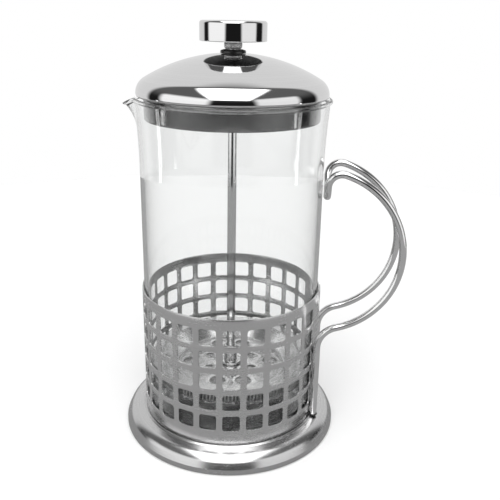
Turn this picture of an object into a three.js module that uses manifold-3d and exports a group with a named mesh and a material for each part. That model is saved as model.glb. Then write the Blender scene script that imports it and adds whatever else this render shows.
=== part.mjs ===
// A french press: a glass beaker in a perforated steel frame with a double-wire handle, a domed lid,
// and a plunger whose sieve pack is pressed fully down. Millimetres, +Z up. The origin is at the
// middle of the underside, the handle points along +X and the spout along -X.

import * as THREE from 'three';
import { mergeVertices } from 'three/addons/utils/BufferGeometryUtils.js';
import Module from 'manifold-3d';

const wasm = await Module();
wasm.setup();

// ---- Driving dimensions ----

// Facets round a piece
const BEAKER_SIDES = 48;
const WIDE_SIDES = 40;
const KNOB_SIDES = 32;
const NARROW_SIDES = 20;
const HOLE_SIDES = 8;
const WIRE_SIDES = 8;
const WIRE_STEPS = 72;
const WINDOW_STEPS = 4;

// Clearances
const REST_GAP = 0.2; // between pieces that rest on, or are fixed to, each other
const SLEEVE_GAP = 0.5; // beaker to sleeve, so that the beaker lifts out
const RUNNING_GAP = 0.15; // rod to the bores it passes through
const HANDLE_GAP = 0.45; // handle wire to beaker
const COIL_GAP = 0.4; // sieve pack to the beaker's inside
const SKIRT_GAP = 0.9; // lid skirt to the beaker's inside
const STOP_GAP = 0.2; // knob neck to the bush it stops on

// Foot
const FOOT_OVERHANG = 10; // from the sleeve to the foot's widest point
const FOOT_HEIGHT = 9.9;
const FOOT_SHEET = 0.7;
const LEDGE_WIDTH = 5.5; // flat ledge outside the sleeve
const EDGE_HEIGHT = 3; // height of the foot's widest point
const HEM_INSET = 1.2; // from the foot's widest point to the flat hem on the table
const HEM_WIDTH = 2.6;
const BOTTOM_PLATE_SHEET = 0.8;
const BOTTOM_PLATE_LAP = 1.2; // how far the closing plate reaches over the hem

// Beaker
const BEAKER_R = 43;
const GLASS_WALL = 1.8;
const GLASS_FLOOR = 2.2;
const BEAKER_HEIGHT = 156;
const BEAKER_CORNER_R = 8;
const FLARE_HEIGHT = 28;
const FLARE = 1.1;
const RIM_BEAD_R = 1.3;
const SPOUT_REACH = 6.1; // how far the lip stands out beyond the rim
const SPOUT_DROP = 4.1; // how far the lip dips below the rim
const SPOUT_HEIGHT = 14; // length of wall that is drawn out to the lip
const SPOUT_HALF_ANGLE = 21;

// Sleeve
const SLEEVE_SHEET = 0.5;
const SLEEVE_HEIGHT = 64.6;
const SLEEVE_SIDES = 50;
const HOLE_SIZE = 8.1;
const HOLE_COLUMNS = 22;
const HOLE_PITCH_DEG = 14.5;
const HOLE_ROWS = 5;
const TOP_BAND = 5.2; // plain band above the first row
const BOTTOM_BAND = 7.2; // plain band below the last row
const SEAM_DEG = 3.6; // middle of the plain lap seam, from the handle

// Handle
const WIRE_R = 1.75;
const WIRE_SPACING = 25.4; // between the two runs, centre to centre
const HANDLE_REACH = 38.1; // from the beaker's wall to the middle of the wire at its furthest
const BOW_R = 39.3;
const BOW_HEIGHT = 97; // height of the bow's centre
const ARCH_R = 6.2; // bend over the top
const HEEL_R = 12; // bend into the welded legs
const HAIRPIN_DROP = 7.1; // straight drop from the arch to the hairpin's end

// Lid
const DOME_INSET = 0.4; // from the middle of the rim bead to the dome's widest point
const CROWN_R = 78;
const SHOULDER_R = 7.6;
const CURL_R = 1.3;
const CURL_DEG = 75;
const SEAT_R = 8; // flat seat for the bush in the middle of the dome
const LID_SHEET = 0.7;
const LINER_SHEET = 0.6;
const SKIRT_DEPTH = 10;
const FLANGE_GAP = 0.3; // liner flange to the dome's curled edge
const BUSH_FLANGE_R = 5.75;
const BUSH_FLANGE_HEIGHT = 1.7;
const BUSH_BARREL_R = 3.6;
const BUSH_LIP_R = 4.7;
const BUSH_LIP_HEIGHT = 0.6;
const WASHER_R = 7;
const WASHER_HEIGHT = 0.8;

// Knob
const KNOB_R = 15;
const KNOB_HEIGHT = 8.7;
const KNOB_SHEET = 0.6;
const KNOB_EDGE_R = 1.2;
const NECK_R = 4.1;
const NECK_HEIGHT = 3.2;
const NECK_END_R = 3.3;
const INSERT_R = 4.6;
const INSERT_ROOF = 0.8; // metal left above the rod's end

// Plunger
const ROD_R = 2.1;
const BED_HEIGHT = 12.5; // space left under the sieve pack when it is pressed down
const HUB_R = 3.3;
const HUB_HEIGHT = 15.5;
const HUB_FLANGE_R = 5.6;
const HUB_FLANGE_HEIGHT = 1;
const PLATE_SHEET = 0.6;
const TOP_PLATE_INSET = 0.7; // from the outside of the coil to each disc's edge
const MESH_INSET = 0.3;
const CROSS_INSET = 4.8;
const DISH_LIP_WIDTH = 5.8; // the top plate is dished inside its lip
const DISH_WALL_RUN = 6.5; // how far the dish's sloping wall reaches inwards
const PLATE_TURN_DEG = 7;
const INNER_HOLES = { count: 6, radius: 2.3, turn: 0.5 };
const INNER_HOLES_CIRCLE = 12.4;
const OUTER_HOLES = { count: 10, radius: 4, turn: 0 };
const OUTER_HOLES_INSET = 7.3; // from the edge of the dish's floor to their circle
const COIL_R = 3.2; // outside radius of the coil's tube
const COIL_SIDES = 8;
const MESH_SHEET = 0.4;
const CROSS_RING_WIDTH = 5;
const CROSS_ARM_WIDTH = 9;
const CROSS_BOSS_R = 9;
const NUT_FLATS = 11;
const NUT_HEIGHT = 3.6;

// ---- Sizes that follow from them ----

const beakerBottom = FOOT_HEIGHT + REST_GAP;
const rimTop = beakerBottom + BEAKER_HEIGHT;
const beakerInnerR = BEAKER_R - GLASS_WALL;
const beadCentreR = BEAKER_R + FLARE;
const sleeveInnerR = BEAKER_R + SLEEVE_GAP;
const sleeveOuterR = sleeveInnerR + SLEEVE_SHEET;
const sleeveBottom = FOOT_HEIGHT + REST_GAP;
const sleeveTop = sleeveBottom + SLEEVE_HEIGHT;
const ledgeR = sleeveOuterR + LEDGE_WIDTH;
const footR = sleeveOuterR + FOOT_OVERHANG;
const hemR = footR - HEM_INSET;
const boreR = ROD_R + RUNNING_GAP;

const domeR = beadCentreR - DOME_INSET;
const domeEdge = rimTop + REST_GAP;
const curlDrop = CURL_R * Math.sin(THREE.MathUtils.degToRad(CURL_DEG));
const domeWidest = domeEdge + curlDrop;
const crownEnd = Math.asin((domeR - SHOULDER_R) / (CROWN_R - SHOULDER_R));
const crownCentre = domeWidest - (CROWN_R - SHOULDER_R) * Math.cos(crownEnd);
const seatRise = Math.sqrt(CROWN_R ** 2 - SEAT_R ** 2);
const seatTop = crownCentre + seatRise;
const skirtR = beakerInnerR - SKIRT_GAP;
const flangeR = domeR - CURL_R - FLANGE_GAP;
const flangeBottom = domeEdge;
const linerBottom = flangeBottom - SKIRT_DEPTH;
const washerTop = seatTop - LID_SHEET - REST_GAP;
const bushTop = seatTop + REST_GAP + BUSH_FLANGE_HEIGHT;

const neckBottom = bushTop + STOP_GAP;
const knobBottom = neckBottom + NECK_HEIGHT;
const knobTop = knobBottom + KNOB_HEIGHT;
const coreTop = knobTop - KNOB_SHEET - REST_GAP;
const coreBottom = knobBottom + REST_GAP;
const insertTop = coreTop - REST_GAP;
const insertBottom = knobBottom + REST_GAP;
const rodTop = insertTop - INSERT_ROOF - REST_GAP;

const nutBottom = beakerBottom + GLASS_FLOOR + BED_HEIGHT;
const crossBottom = nutBottom + NUT_HEIGHT + REST_GAP;
const meshBottom = crossBottom + PLATE_SHEET + REST_GAP;
const coilCentre = meshBottom + MESH_SHEET + REST_GAP + COIL_R;
const topPlateBottom = coilCentre + COIL_R + REST_GAP;
const dishBottom = meshBottom + MESH_SHEET + REST_GAP;
const hubFlangeBottom = dishBottom + PLATE_SHEET + REST_GAP;
const hubHoleR = HUB_R + REST_GAP;
const rodBottom = nutBottom + REST_GAP;
const coilOuterR = beakerInnerR - COIL_GAP;
const topPlateR = coilOuterR - TOP_PLATE_INSET;
const dishWallR = topPlateR - DISH_LIP_WIDTH;
const dishFloorR = dishWallR - DISH_WALL_RUN;
const crossR = coilOuterR - CROSS_INSET;

// ---- Helpers ----

const WELD_TOLERANCE = 1e-4;

function volume(positions, index) {
  const a = new THREE.Vector3();
  const b = new THREE.Vector3();
  const c = new THREE.Vector3();
  let sum = 0;
  for (let i = 0; i < index.length; i += 3) {
    a.fromBufferAttribute(positions, index[i]);
    b.fromBufferAttribute(positions, index[i + 1]);
    c.fromBufferAttribute(positions, index[i + 2]);
    sum += a.dot(b.cross(c)) / 6;
  }
  return sum;
}

// Shares the vertices of a geometry, drops its empty triangles and turns its faces outwards.
function closed(geometry) {
  const bare = geometry.clone();
  bare.deleteAttribute('normal');
  bare.deleteAttribute('uv');
  const merged = mergeVertices(bare, WELD_TOLERANCE);
  const all = merged.index.array;
  const kept = [];
  for (let i = 0; i < all.length; i += 3) {
    const [a, b, c] = [all[i], all[i + 1], all[i + 2]];
    if (a !== b && b !== c && c !== a) kept.push(a, b, c);
  }
  if (volume(merged.attributes.position, kept) < 0) kept.reverse();
  merged.setIndex(kept);
  return merged;
}

// Turns an outline of [radius, height] points about the Z axis.
function turned(outline, sides) {
  const points = outline.map(([radius, height]) => new THREE.Vector2(radius, height));
  const lathe = new THREE.LatheGeometry(points, sides);
  return closed(lathe.rotateX(Math.PI / 2));
}

// A ring between two radii and two heights, as an outline for turned().
function ringOutline(innerR, outerR, bottom, top) {
  return [[innerR, bottom], [outerR, bottom], [outerR, top], [innerR, top], [innerR, bottom]];
}

// Points on an arc of an ellipse, its angles in degrees anticlockwise from the outward direction.
function arc(centreR, centreZ, radiusR, radiusZ, startDeg, endDeg, steps) {
  const points = [];
  for (let i = 0; i <= steps; i += 1) {
    const angle = THREE.MathUtils.degToRad(startDeg + ((endDeg - startDeg) * i) / steps);
    points.push([centreR + radiusR * Math.cos(angle), centreZ + radiusZ * Math.sin(angle)]);
  }
  return points;
}

function toManifold(geometry) {
  const solid = closed(geometry);
  return new wasm.Manifold(new wasm.Mesh({
    numProp: 3,
    vertProperties: new Float32Array(solid.attributes.position.array),
    triVerts: new Uint32Array(solid.index.array),
  }));
}

function fromManifold(solid) {
  const mesh = solid.getMesh();
  const geometry = new THREE.BufferGeometry();
  geometry.setAttribute('position', new THREE.BufferAttribute(mesh.vertProperties, 3));
  geometry.setIndex(new THREE.BufferAttribute(mesh.triVerts, 1));
  return geometry;
}

// Cuts the cutters out of a geometry.
function cut(geometry, cutters) {
  let solid = toManifold(geometry);
  for (const cutter of cutters) solid = solid.subtract(toManifold(cutter));
  return fromManifold(solid);
}

// Corners of a regular polygon about a point.
function polygon(x, y, radius, sides) {
  const corners = [];
  for (let i = 0; i < sides; i += 1) {
    const angle = (i / sides) * Math.PI * 2;
    corners.push(new THREE.Vector2(x + radius * Math.cos(angle), y + radius * Math.sin(angle)));
  }
  return corners;
}

// A flat sheet of an outline and its holes, each a list of corners, standing on the given height.
function sheet(outline, holes, thickness, bottom) {
  const shape = new THREE.Shape(outline);
  shape.holes = holes.map((corners) => new THREE.Path(corners));
  const options = { depth: thickness, bevelEnabled: false };
  return closed(new THREE.ExtrudeGeometry(shape, options).translate(0, 0, bottom));
}

function piece(name, geometry, material) {
  const mesh = new THREE.Mesh(geometry, material);
  mesh.name = name;
  return mesh;
}

// ---- Materials ----

function metal(color, roughness) {
  return new THREE.MeshStandardMaterial({ color, roughness, metalness: 1 });
}

const polishedSteel = metal(0xd8dadb, 0.06);
const satinSteel = metal(0xb4b6b6, 0.32);
const brushedSteel = metal(0x9fa1a2, 0.28);
const wireSteel = metal(0xc4c6c7, 0.14);
const darkSteel = metal(0x8d8f90, 0.22);
const meshSteel = metal(0x8f9192, 0.4);
const blackPlastic = new THREE.MeshStandardMaterial({ color: 0x202122, roughness: 0.5 });
const glass = new THREE.MeshStandardMaterial({
  color: 0xf2f5f5, roughness: 0.03, transparent: true, opacity: 0.25,
});

// ---- Frame ----

// The foot: a flat floor, a ledge, a rounded edge down to the table and a hem turned inwards.
function baseDish() {
  const edgeR = footR - ledgeR;
  const edgeZ = FOOT_HEIGHT - EDGE_HEIGHT;
  const skin = FOOT_SHEET;
  const steps = 5;
  return turned([
    [0, FOOT_HEIGHT],
    ...arc(ledgeR, EDGE_HEIGHT, edgeR, edgeZ, 90, 0, steps),
    [hemR, 0],
    [hemR - HEM_WIDTH, 0],
    [hemR - HEM_WIDTH, skin],
    [hemR - skin, skin],
    ...arc(ledgeR, EDGE_HEIGHT, edgeR - skin, edgeZ - skin, 0, 90, steps),
    [0, FOOT_HEIGHT - skin],
  ], WIDE_SIDES);
}

// Closes the foot from below. Its middle is flat on the table and its edge laps over the hem.
function bottomPlate() {
  const hemInner = hemR - HEM_WIDTH;
  const lapBottom = FOOT_SHEET + REST_GAP;
  const stepR = hemInner - REST_GAP;
  const lapR = hemInner + BOTTOM_PLATE_LAP;
  return turned([
    [0, 0],
    [stepR, 0],
    [stepR, lapBottom],
    [lapR, lapBottom],
    [lapR, lapBottom + BOTTOM_PLATE_SHEET],
    [stepR - BOTTOM_PLATE_SHEET, lapBottom + BOTTOM_PLATE_SHEET],
    [stepR - BOTTOM_PLATE_SHEET, BOTTOM_PLATE_SHEET],
    [0, BOTTOM_PLATE_SHEET],
  ], WIDE_SIDES);
}

// A rolled band with a grid of square holes, plain where its ends lap behind the handle.
function sleeve() {
  const band = turned(ringOutline(sleeveInnerR, sleeveOuterR, sleeveBottom, sleeveTop), SLEEVE_SIDES);
  const firstDeg = SEAM_DEG + (360 - (HOLE_COLUMNS - 1) * HOLE_PITCH_DEG) / 2;
  const depth = SLEEVE_SHEET * 8;
  const firstRow = sleeveTop - TOP_BAND - HOLE_SIZE / 2;
  const lastRow = sleeveBottom + BOTTOM_BAND + HOLE_SIZE / 2;
  const rowPitch = (firstRow - lastRow) / (HOLE_ROWS - 1);
  const cutters = [];
  for (let column = 0; column < HOLE_COLUMNS; column += 1) {
    for (let row = 0; row < HOLE_ROWS; row += 1) {
      const hole = new THREE.BoxGeometry(depth, HOLE_SIZE, HOLE_SIZE);
      hole.translate(sleeveOuterR, 0, firstRow - row * rowPitch);
      hole.rotateZ(THREE.MathUtils.degToRad(firstDeg + column * HOLE_PITCH_DEG));
      cutters.push(hole);
    }
  }
  return cut(band, cutters);
}

// The side view of one run of the handle, from the hairpin's end down to the foot.
function handleOutline() {
  const halfSpacing = WIRE_SPACING / 2;
  const bowCentre = BEAKER_R + HANDLE_REACH - BOW_R;
  const dropR = BEAKER_R + HANDLE_GAP + WIRE_R;
  const legR = Math.sqrt((sleeveOuterR + REST_GAP + WIRE_R) ** 2 - halfSpacing ** 2);
  const archOut = dropR + ARCH_R - bowCentre;
  const archUp = Math.sqrt((BOW_R - ARCH_R) ** 2 - archOut ** 2);
  const heelOut = legR + HEEL_R - bowCentre;
  const heelDown = Math.sqrt((BOW_R + HEEL_R) ** 2 - heelOut ** 2);
  const archAngle = Math.atan2(archUp, archOut);
  const heelAngle = Math.atan2(heelDown, heelOut);
  const outline = new THREE.Path();
  outline.moveTo(dropR, BOW_HEIGHT + archUp - HAIRPIN_DROP);
  outline.lineTo(dropR, BOW_HEIGHT + archUp);
  outline.absarc(dropR + ARCH_R, BOW_HEIGHT + archUp, ARCH_R, Math.PI, archAngle, true);
  outline.absarc(bowCentre, BOW_HEIGHT, BOW_R, archAngle, -heelAngle, true);
  outline.absarc(legR + HEEL_R, BOW_HEIGHT - heelDown, HEEL_R, Math.PI - heelAngle, Math.PI, false);
  outline.lineTo(legR, FOOT_HEIGHT + REST_GAP);
  return outline;
}

// The whole wire: up one run, round the hairpin and down the other run.
class HandleCurve extends THREE.Curve {
  constructor() {
    super();
    this.outline = handleOutline();
    this.outlineLength = this.outline.getLength();
    this.turnR = WIRE_SPACING / 2;
    this.turnLength = (this.turnR * Math.PI) / 2;
    this.runLength = this.turnLength + this.outlineLength - this.turnR;
  }

  getPoint(t, target = new THREE.Vector3()) {
    const fromTurn = Math.abs(t - 0.5) * 2 * this.runLength;
    const side = Math.sign(t - 0.5);
    const angle = Math.min(fromTurn, this.turnLength) / this.turnR;
    const straight = Math.max(fromTurn - this.turnLength, 0);
    const along = this.turnR * (1 - Math.cos(angle)) + straight;
    const place = this.outline.getPointAt(Math.min(along / this.outlineLength, 1));
    return target.set(place.x, side * this.turnR * Math.sin(angle), place.y);
  }
}

function handleWire() {
  const section = new THREE.Shape(polygon(0, 0, WIRE_R, WIRE_SIDES));
  const options = { steps: WIRE_STEPS, extrudePath: new HandleCurve() };
  return closed(new THREE.ExtrudeGeometry(section, options));
}

// ---- Beaker ----

// Draws the wall out to a pouring lip on the side away from the handle.
function drawSpout(geometry) {
  const positions = geometry.attributes.position;
  const halfAngle = THREE.MathUtils.degToRad(SPOUT_HALF_ANGLE);
  const start = rimTop - SPOUT_HEIGHT;
  for (let i = 0; i < positions.count; i += 1) {
    const x = positions.getX(i);
    const y = positions.getY(i);
    const z = positions.getZ(i);
    const off = Math.abs(Math.atan2(y, -x));
    if (off < halfAngle && z > start) {
      const across = Math.cos((off / halfAngle) * (Math.PI / 2)) ** 2;
      const up = (z - start) / SPOUT_HEIGHT;
      const radius = Math.hypot(x, y);
      const scale = (radius + SPOUT_REACH * across * up) / radius;
      positions.setXYZ(i, x * scale, y * scale, z - SPOUT_DROP * across * up * up);
    }
  }
  return geometry;
}

function glassBeaker() {
  const bottom = beakerBottom;
  const corner = BEAKER_CORNER_R;
  const innerCorner = corner - GLASS_WALL;
  const innerFloor = bottom + GLASS_FLOOR;
  const beadZ = rimTop - RIM_BEAD_R;
  const flare = [];
  const steps = 3;
  for (let i = 0; i < steps; i += 1) {
    const t = i / steps;
    flare.push([FLARE * t ** 1.6, beadZ - FLARE_HEIGHT * (1 - t)]);
  }
  const outline = [
    [0, bottom],
    ...arc(BEAKER_R - corner, bottom + corner, corner, corner, -90, 0, 3),
    ...flare.map(([out, z]) => [BEAKER_R + out, z]),
    ...arc(beadCentreR, beadZ, RIM_BEAD_R, RIM_BEAD_R, -40, 220, 5),
    ...flare.reverse().map(([out, z]) => [beakerInnerR + out, z]),
    ...arc(beakerInnerR - innerCorner, innerFloor + innerCorner, innerCorner, innerCorner, 0, -90, 3),
    [0, innerFloor],
  ];
  return drawSpout(turned(outline, BEAKER_SIDES));
}

// ---- Lid ----

// The dome's outline at a depth below its outer skin: seat, crown, shoulder and curled edge.
function domeSkin(depth) {
  const crownDeg = 90 - THREE.MathUtils.radToDeg(crownEnd);
  const skinR = CROWN_R - depth;
  const seatDeg = THREE.MathUtils.radToDeg(Math.asin((seatRise - depth) / skinR));
  const shoulderR = domeR - SHOULDER_R;
  return [
    [BUSH_BARREL_R + REST_GAP, seatTop - depth],
    ...arc(0, crownCentre, skinR, skinR, seatDeg, crownDeg, 3),
    ...arc(shoulderR, domeWidest, SHOULDER_R - depth, SHOULDER_R - depth, crownDeg, 0, 3).slice(1),
    ...arc(domeR - CURL_R, domeWidest, CURL_R - depth, CURL_R - depth, 0, -CURL_DEG, 2).slice(1),
  ];
}

function lidDome() {
  const outer = domeSkin(0);
  const inner = domeSkin(LID_SHEET).reverse();
  return turned([...outer, ...inner, outer[0]], WIDE_SIDES);
}

// A cup under the dome: a flange at the rim, a skirt inside the glass and a floor with a rod hole.
function lidLiner() {
  const skin = LINER_SHEET;
  const floorHoleR = ROD_R + REST_GAP * 3;
  return turned([
    [floorHoleR, linerBottom],
    [skirtR - skin, linerBottom],
    [skirtR, linerBottom + skin],
    [skirtR, flangeBottom],
    [flangeR, flangeBottom],
    [flangeR, flangeBottom + skin],
    [skirtR - skin, flangeBottom + skin],
    [skirtR - skin, linerBottom + skin],
    [floorHoleR, linerBottom + skin],
    [floorHoleR, linerBottom],
  ], WIDE_SIDES);
}

// The rod's guide: a flange on the dome, a barrel through it and a lip clinched below the washer.
function lidBush() {
  const flangeZ = seatTop + REST_GAP;
  const lipTop = washerTop - WASHER_HEIGHT - REST_GAP;
  const lipBottom = lipTop - BUSH_LIP_HEIGHT;
  return turned([
    [boreR, lipBottom],
    [BUSH_LIP_R, lipBottom],
    [BUSH_LIP_R, lipTop],
    [BUSH_BARREL_R, lipTop],
    [BUSH_BARREL_R, flangeZ],
    [BUSH_FLANGE_R, flangeZ],
    [BUSH_FLANGE_R, bushTop - BUSH_FLANGE_HEIGHT / 3],
    [BUSH_FLANGE_R - BUSH_FLANGE_HEIGHT / 3, bushTop],
    [boreR, bushTop],
    [boreR, lipBottom],
  ], NARROW_SIDES);
}

function bushWasher() {
  const bottom = washerTop - WASHER_HEIGHT;
  return turned(ringOutline(BUSH_BARREL_R + REST_GAP, WASHER_R, bottom, washerTop), NARROW_SIDES);
}

// ---- Knob ----

function knobCap() {
  const skin = KNOB_SHEET;
  const edge = KNOB_EDGE_R;
  return turned([
    [0, knobTop],
    ...arc(KNOB_R - edge, knobTop - edge, edge, edge, 90, 0, 3),
    [KNOB_R, knobBottom + skin],
    [KNOB_R - skin / 2, knobBottom],
    [KNOB_R - skin, knobBottom],
    ...arc(KNOB_R - edge, knobTop - edge, edge - skin, edge - skin, 0, 90, 2),
    [0, knobTop - skin],
  ], KNOB_SIDES);
}

function knobCore() {
  const outer = KNOB_R - KNOB_SHEET - REST_GAP;
  const edge = KNOB_EDGE_R;
  return turned([
    [INSERT_R + REST_GAP, coreBottom],
    [outer, coreBottom],
    [outer, coreTop - edge],
    [outer - edge, coreTop],
    [0, coreTop],
    [0, insertTop + REST_GAP / 2],
    [INSERT_R + REST_GAP, insertTop + REST_GAP / 2],
    [INSERT_R + REST_GAP, coreBottom],
  ], KNOB_SIDES);
}

// The insert that the rod's end screws into.
function knobInsert() {
  const roof = insertTop - INSERT_ROOF;
  return turned([
    [boreR, insertBottom],
    [INSERT_R, insertBottom],
    [INSERT_R, insertTop],
    [0, insertTop],
    [0, roof],
    [boreR, roof],
    [boreR, insertBottom],
  ], NARROW_SIDES);
}

// A short bulging neck that stops on the bush.
function knobNeck() {
  const middle = (neckBottom + knobBottom) / 2;
  const bulge = arc(NECK_END_R, middle, NECK_R - NECK_END_R, NECK_HEIGHT / 2, -90, 90, 6);
  return turned([[boreR, neckBottom], ...bulge, [boreR, knobBottom], [boreR, neckBottom]], NARROW_SIDES);
}

// ---- Plunger ----

function plungerRod() {
  return turned([[0, rodBottom], [ROD_R, rodBottom], [ROD_R, rodTop], [0, rodTop]], NARROW_SIDES);
}

// The hub on the rod's lower end: a flange above the sieve pack and a barrel down through it.
function rodHub() {
  const top = nutBottom + HUB_HEIGHT;
  const flangeTop = hubFlangeBottom + HUB_FLANGE_HEIGHT;
  return turned([
    [boreR, nutBottom],
    [HUB_R, nutBottom],
    [HUB_R, hubFlangeBottom],
    [HUB_FLANGE_R, hubFlangeBottom],
    [HUB_FLANGE_R, flangeTop],
    [HUB_R, flangeTop],
    [HUB_R, top],
    [boreR, top],
    [boreR, nutBottom],
  ], NARROW_SIDES);
}

function holeDrills({ count, radius, turn }, circle) {
  const drills = [];
  for (let i = 0; i < count; i += 1) {
    const drill = new THREE.CylinderGeometry(radius, radius, PLATE_SHEET * 4, HOLE_SIDES);
    drill.rotateX(Math.PI / 2);
    drill.translate(circle, 0, dishBottom + PLATE_SHEET / 2);
    drill.rotateZ(((i + turn) / count) * Math.PI * 2 + THREE.MathUtils.degToRad(PLATE_TURN_DEG));
    drills.push(drill);
  }
  return drills;
}

function hubHole() {
  return polygon(0, 0, hubHoleR, NARROW_SIDES);
}

// A dished disc: a floor with two rings of holes, a sloping wall and a lip over the coil.
function topPlate() {
  const floorTop = dishBottom + PLATE_SHEET;
  const lipTop = topPlateBottom + PLATE_SHEET;
  const slope = Math.atan2(topPlateBottom - dishBottom, DISH_WALL_RUN);
  const bend = PLATE_SHEET * Math.tan(slope / 2);
  const dish = turned([
    [hubHoleR, dishBottom],
    [dishFloorR, dishBottom],
    [dishWallR, topPlateBottom],
    [topPlateR, topPlateBottom],
    [topPlateR, lipTop],
    [dishWallR - bend, lipTop],
    [dishFloorR - bend, floorTop],
    [hubHoleR, floorTop],
    [hubHoleR, dishBottom],
  ], WIDE_SIDES);
  return cut(dish, [
    ...holeDrills(INNER_HOLES, INNER_HOLES_CIRCLE),
    ...holeDrills(OUTER_HOLES, dishFloorR - OUTER_HOLES_INSET),
  ]);
}

// The coil round the edge of the sieve pack, as a plain ring of its outer size.
function coilSpring() {
  const ring = new THREE.TorusGeometry(coilOuterR - COIL_R, COIL_R, COIL_SIDES, WIDE_SIDES);
  return closed(ring.translate(0, 0, coilCentre));
}

function meshFilter() {
  const outerR = coilOuterR - MESH_INSET;
  return turned(ringOutline(hubHoleR, outerR, meshBottom, meshBottom + MESH_SHEET), WIDE_SIDES);
}

// One window of the cross plate, between two arms.
function crossWindow(quarter) {
  const turn = (quarter * Math.PI) / 2;
  const outerR = crossR - CROSS_RING_WIDTH;
  const outerOff = Math.asin(CROSS_ARM_WIDTH / 2 / outerR);
  const innerOff = Math.asin(CROSS_ARM_WIDTH / 2 / CROSS_BOSS_R);
  const window = new THREE.Path();
  window.absarc(0, 0, outerR, turn + Math.PI / 2 - outerOff, turn + outerOff, true);
  window.absarc(0, 0, CROSS_BOSS_R, turn + innerOff, turn + Math.PI / 2 - innerOff, false);
  return window.getPoints(WINDOW_STEPS);
}

function crossPlate() {
  const outline = polygon(0, 0, crossR, WIDE_SIDES);
  const holes = [hubHole(), ...[0, 1, 2, 3].map(crossWindow)];
  return sheet(outline, holes, PLATE_SHEET, crossBottom);
}

function filterNut() {
  const cornerR = NUT_FLATS / 2 / Math.cos(Math.PI / 6);
  return sheet(polygon(0, 0, cornerR, 6), [hubHole()], NUT_HEIGHT, nutBottom);
}

// ---- Assembly ----

const frame = new THREE.Group();
frame.add(
  piece('base_dish', baseDish(), satinSteel),
  piece('bottom_plate', bottomPlate(), satinSteel),
  piece('sleeve', sleeve(), satinSteel),
  piece('handle_wire', handleWire(), wireSteel),
);

const beaker = new THREE.Group();
beaker.add(piece('glass_beaker', glassBeaker(), glass));

const lid = new THREE.Group();
lid.add(
  piece('lid_dome', lidDome(), polishedSteel),
  piece('lid_liner', lidLiner(), brushedSteel),
  piece('lid_bush', lidBush(), darkSteel),
  piece('bush_washer', bushWasher(), brushedSteel),
);

const knob = new THREE.Group();
knob.add(
  piece('knob_cap', knobCap(), polishedSteel),
  piece('knob_core', knobCore(), blackPlastic),
  piece('knob_insert', knobInsert(), darkSteel),
  piece('knob_neck', knobNeck(), polishedSteel),
);

const sieve = new THREE.Group();
sieve.add(
  piece('rod_hub', rodHub(), darkSteel),
  piece('top_plate', topPlate(), satinSteel),
  piece('coil_spring', coilSpring(), meshSteel),
  piece('mesh_filter', meshFilter(), meshSteel),
  piece('cross_plate', crossPlate(), satinSteel),
  piece('filter_nut', filterNut(), darkSteel),
);

const plunger = new THREE.Group();
plunger.add(piece('plunger_rod', plungerRod(), polishedSteel), knob, sieve);

const frenchPress = new THREE.Group();
frenchPress.add(frame, beaker, lid, plunger);

export default frenchPress;
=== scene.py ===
# %% [markdown]
# # A french press in brushed and polished steel
# The press is a glass beaker standing in a perforated steel frame, with a domed lid and a plunger.
# A fixed model already says how large every part is, so this script only gives the parts their
# fine surface. It loads that model first and takes its places from it. All lengths are in metres.

# %% Load the fixed model
import math

import bmesh
import bpy
from mathutils import Matrix, Vector


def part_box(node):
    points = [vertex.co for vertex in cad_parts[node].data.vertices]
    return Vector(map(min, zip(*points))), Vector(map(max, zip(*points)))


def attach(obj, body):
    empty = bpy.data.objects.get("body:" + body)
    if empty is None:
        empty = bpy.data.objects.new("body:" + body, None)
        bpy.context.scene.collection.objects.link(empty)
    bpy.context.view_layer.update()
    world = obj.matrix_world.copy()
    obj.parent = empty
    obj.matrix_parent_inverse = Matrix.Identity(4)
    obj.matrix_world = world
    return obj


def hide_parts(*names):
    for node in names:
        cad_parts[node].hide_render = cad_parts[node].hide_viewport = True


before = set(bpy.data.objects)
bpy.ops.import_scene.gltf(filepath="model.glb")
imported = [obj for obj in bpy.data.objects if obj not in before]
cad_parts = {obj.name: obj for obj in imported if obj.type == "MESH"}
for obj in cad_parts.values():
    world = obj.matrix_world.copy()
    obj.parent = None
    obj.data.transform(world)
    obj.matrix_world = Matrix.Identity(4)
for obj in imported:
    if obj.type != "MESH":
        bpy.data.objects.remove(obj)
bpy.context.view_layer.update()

MM = 0.001

# %% [markdown]
# ## Camera
# A product picture of a small object is taken from near, with the lens slightly above it. The camera
# stands a hand's width above the table and looks down at the middle of the beaker. Its place is
# written as a distance, an azimuth round the press and a height, because those are the numbers
# a photographer would set. It is turned and rolled by a degree or two, as a hand-held camera is.

# %% Camera
CAMERA_DISTANCE = 0.306
CAMERA_AZIMUTH = math.radians(7.2)
CAMERA_HEIGHT = 0.20175
CAMERA_HEADING = math.radians(5.49)
CAMERA_TILT = math.radians(70.26)
CAMERA_ROLL = math.radians(1.07)
CAMERA_LENS = 47.5


def make_camera():
    data = bpy.data.cameras.new("camera")
    data.lens = CAMERA_LENS
    data.sensor_width = 36
    data.clip_start = 0.01
    camera = bpy.data.objects.new("camera", data)
    bpy.context.scene.collection.objects.link(camera)
    place = Vector((math.sin(CAMERA_AZIMUTH), -math.cos(CAMERA_AZIMUTH), 0)) * CAMERA_DISTANCE
    place.z = CAMERA_HEIGHT
    turn = (
        Matrix.Rotation(CAMERA_HEADING, 4, "Z")
        @ Matrix.Rotation(CAMERA_TILT, 4, "X")
        @ Matrix.Rotation(CAMERA_ROLL, 4, "Z")
    )
    camera.matrix_world = Matrix.Translation(place) @ turn
    return camera


bpy.context.scene.camera = make_camera()
print("camera", tuple(round(v, 4) for v in bpy.context.scene.camera.location))

# %% [markdown]
# ## Building node trees
# Materials, the world and the Geometry Nodes are all graphs of nodes. A tiny builder keeps their
# code short: it adds a node, sets its unlinked inputs from numbers and links the others, so that a
# tree reads like a formula. Sockets are named, or numbered where a node repeats a name.


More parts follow.
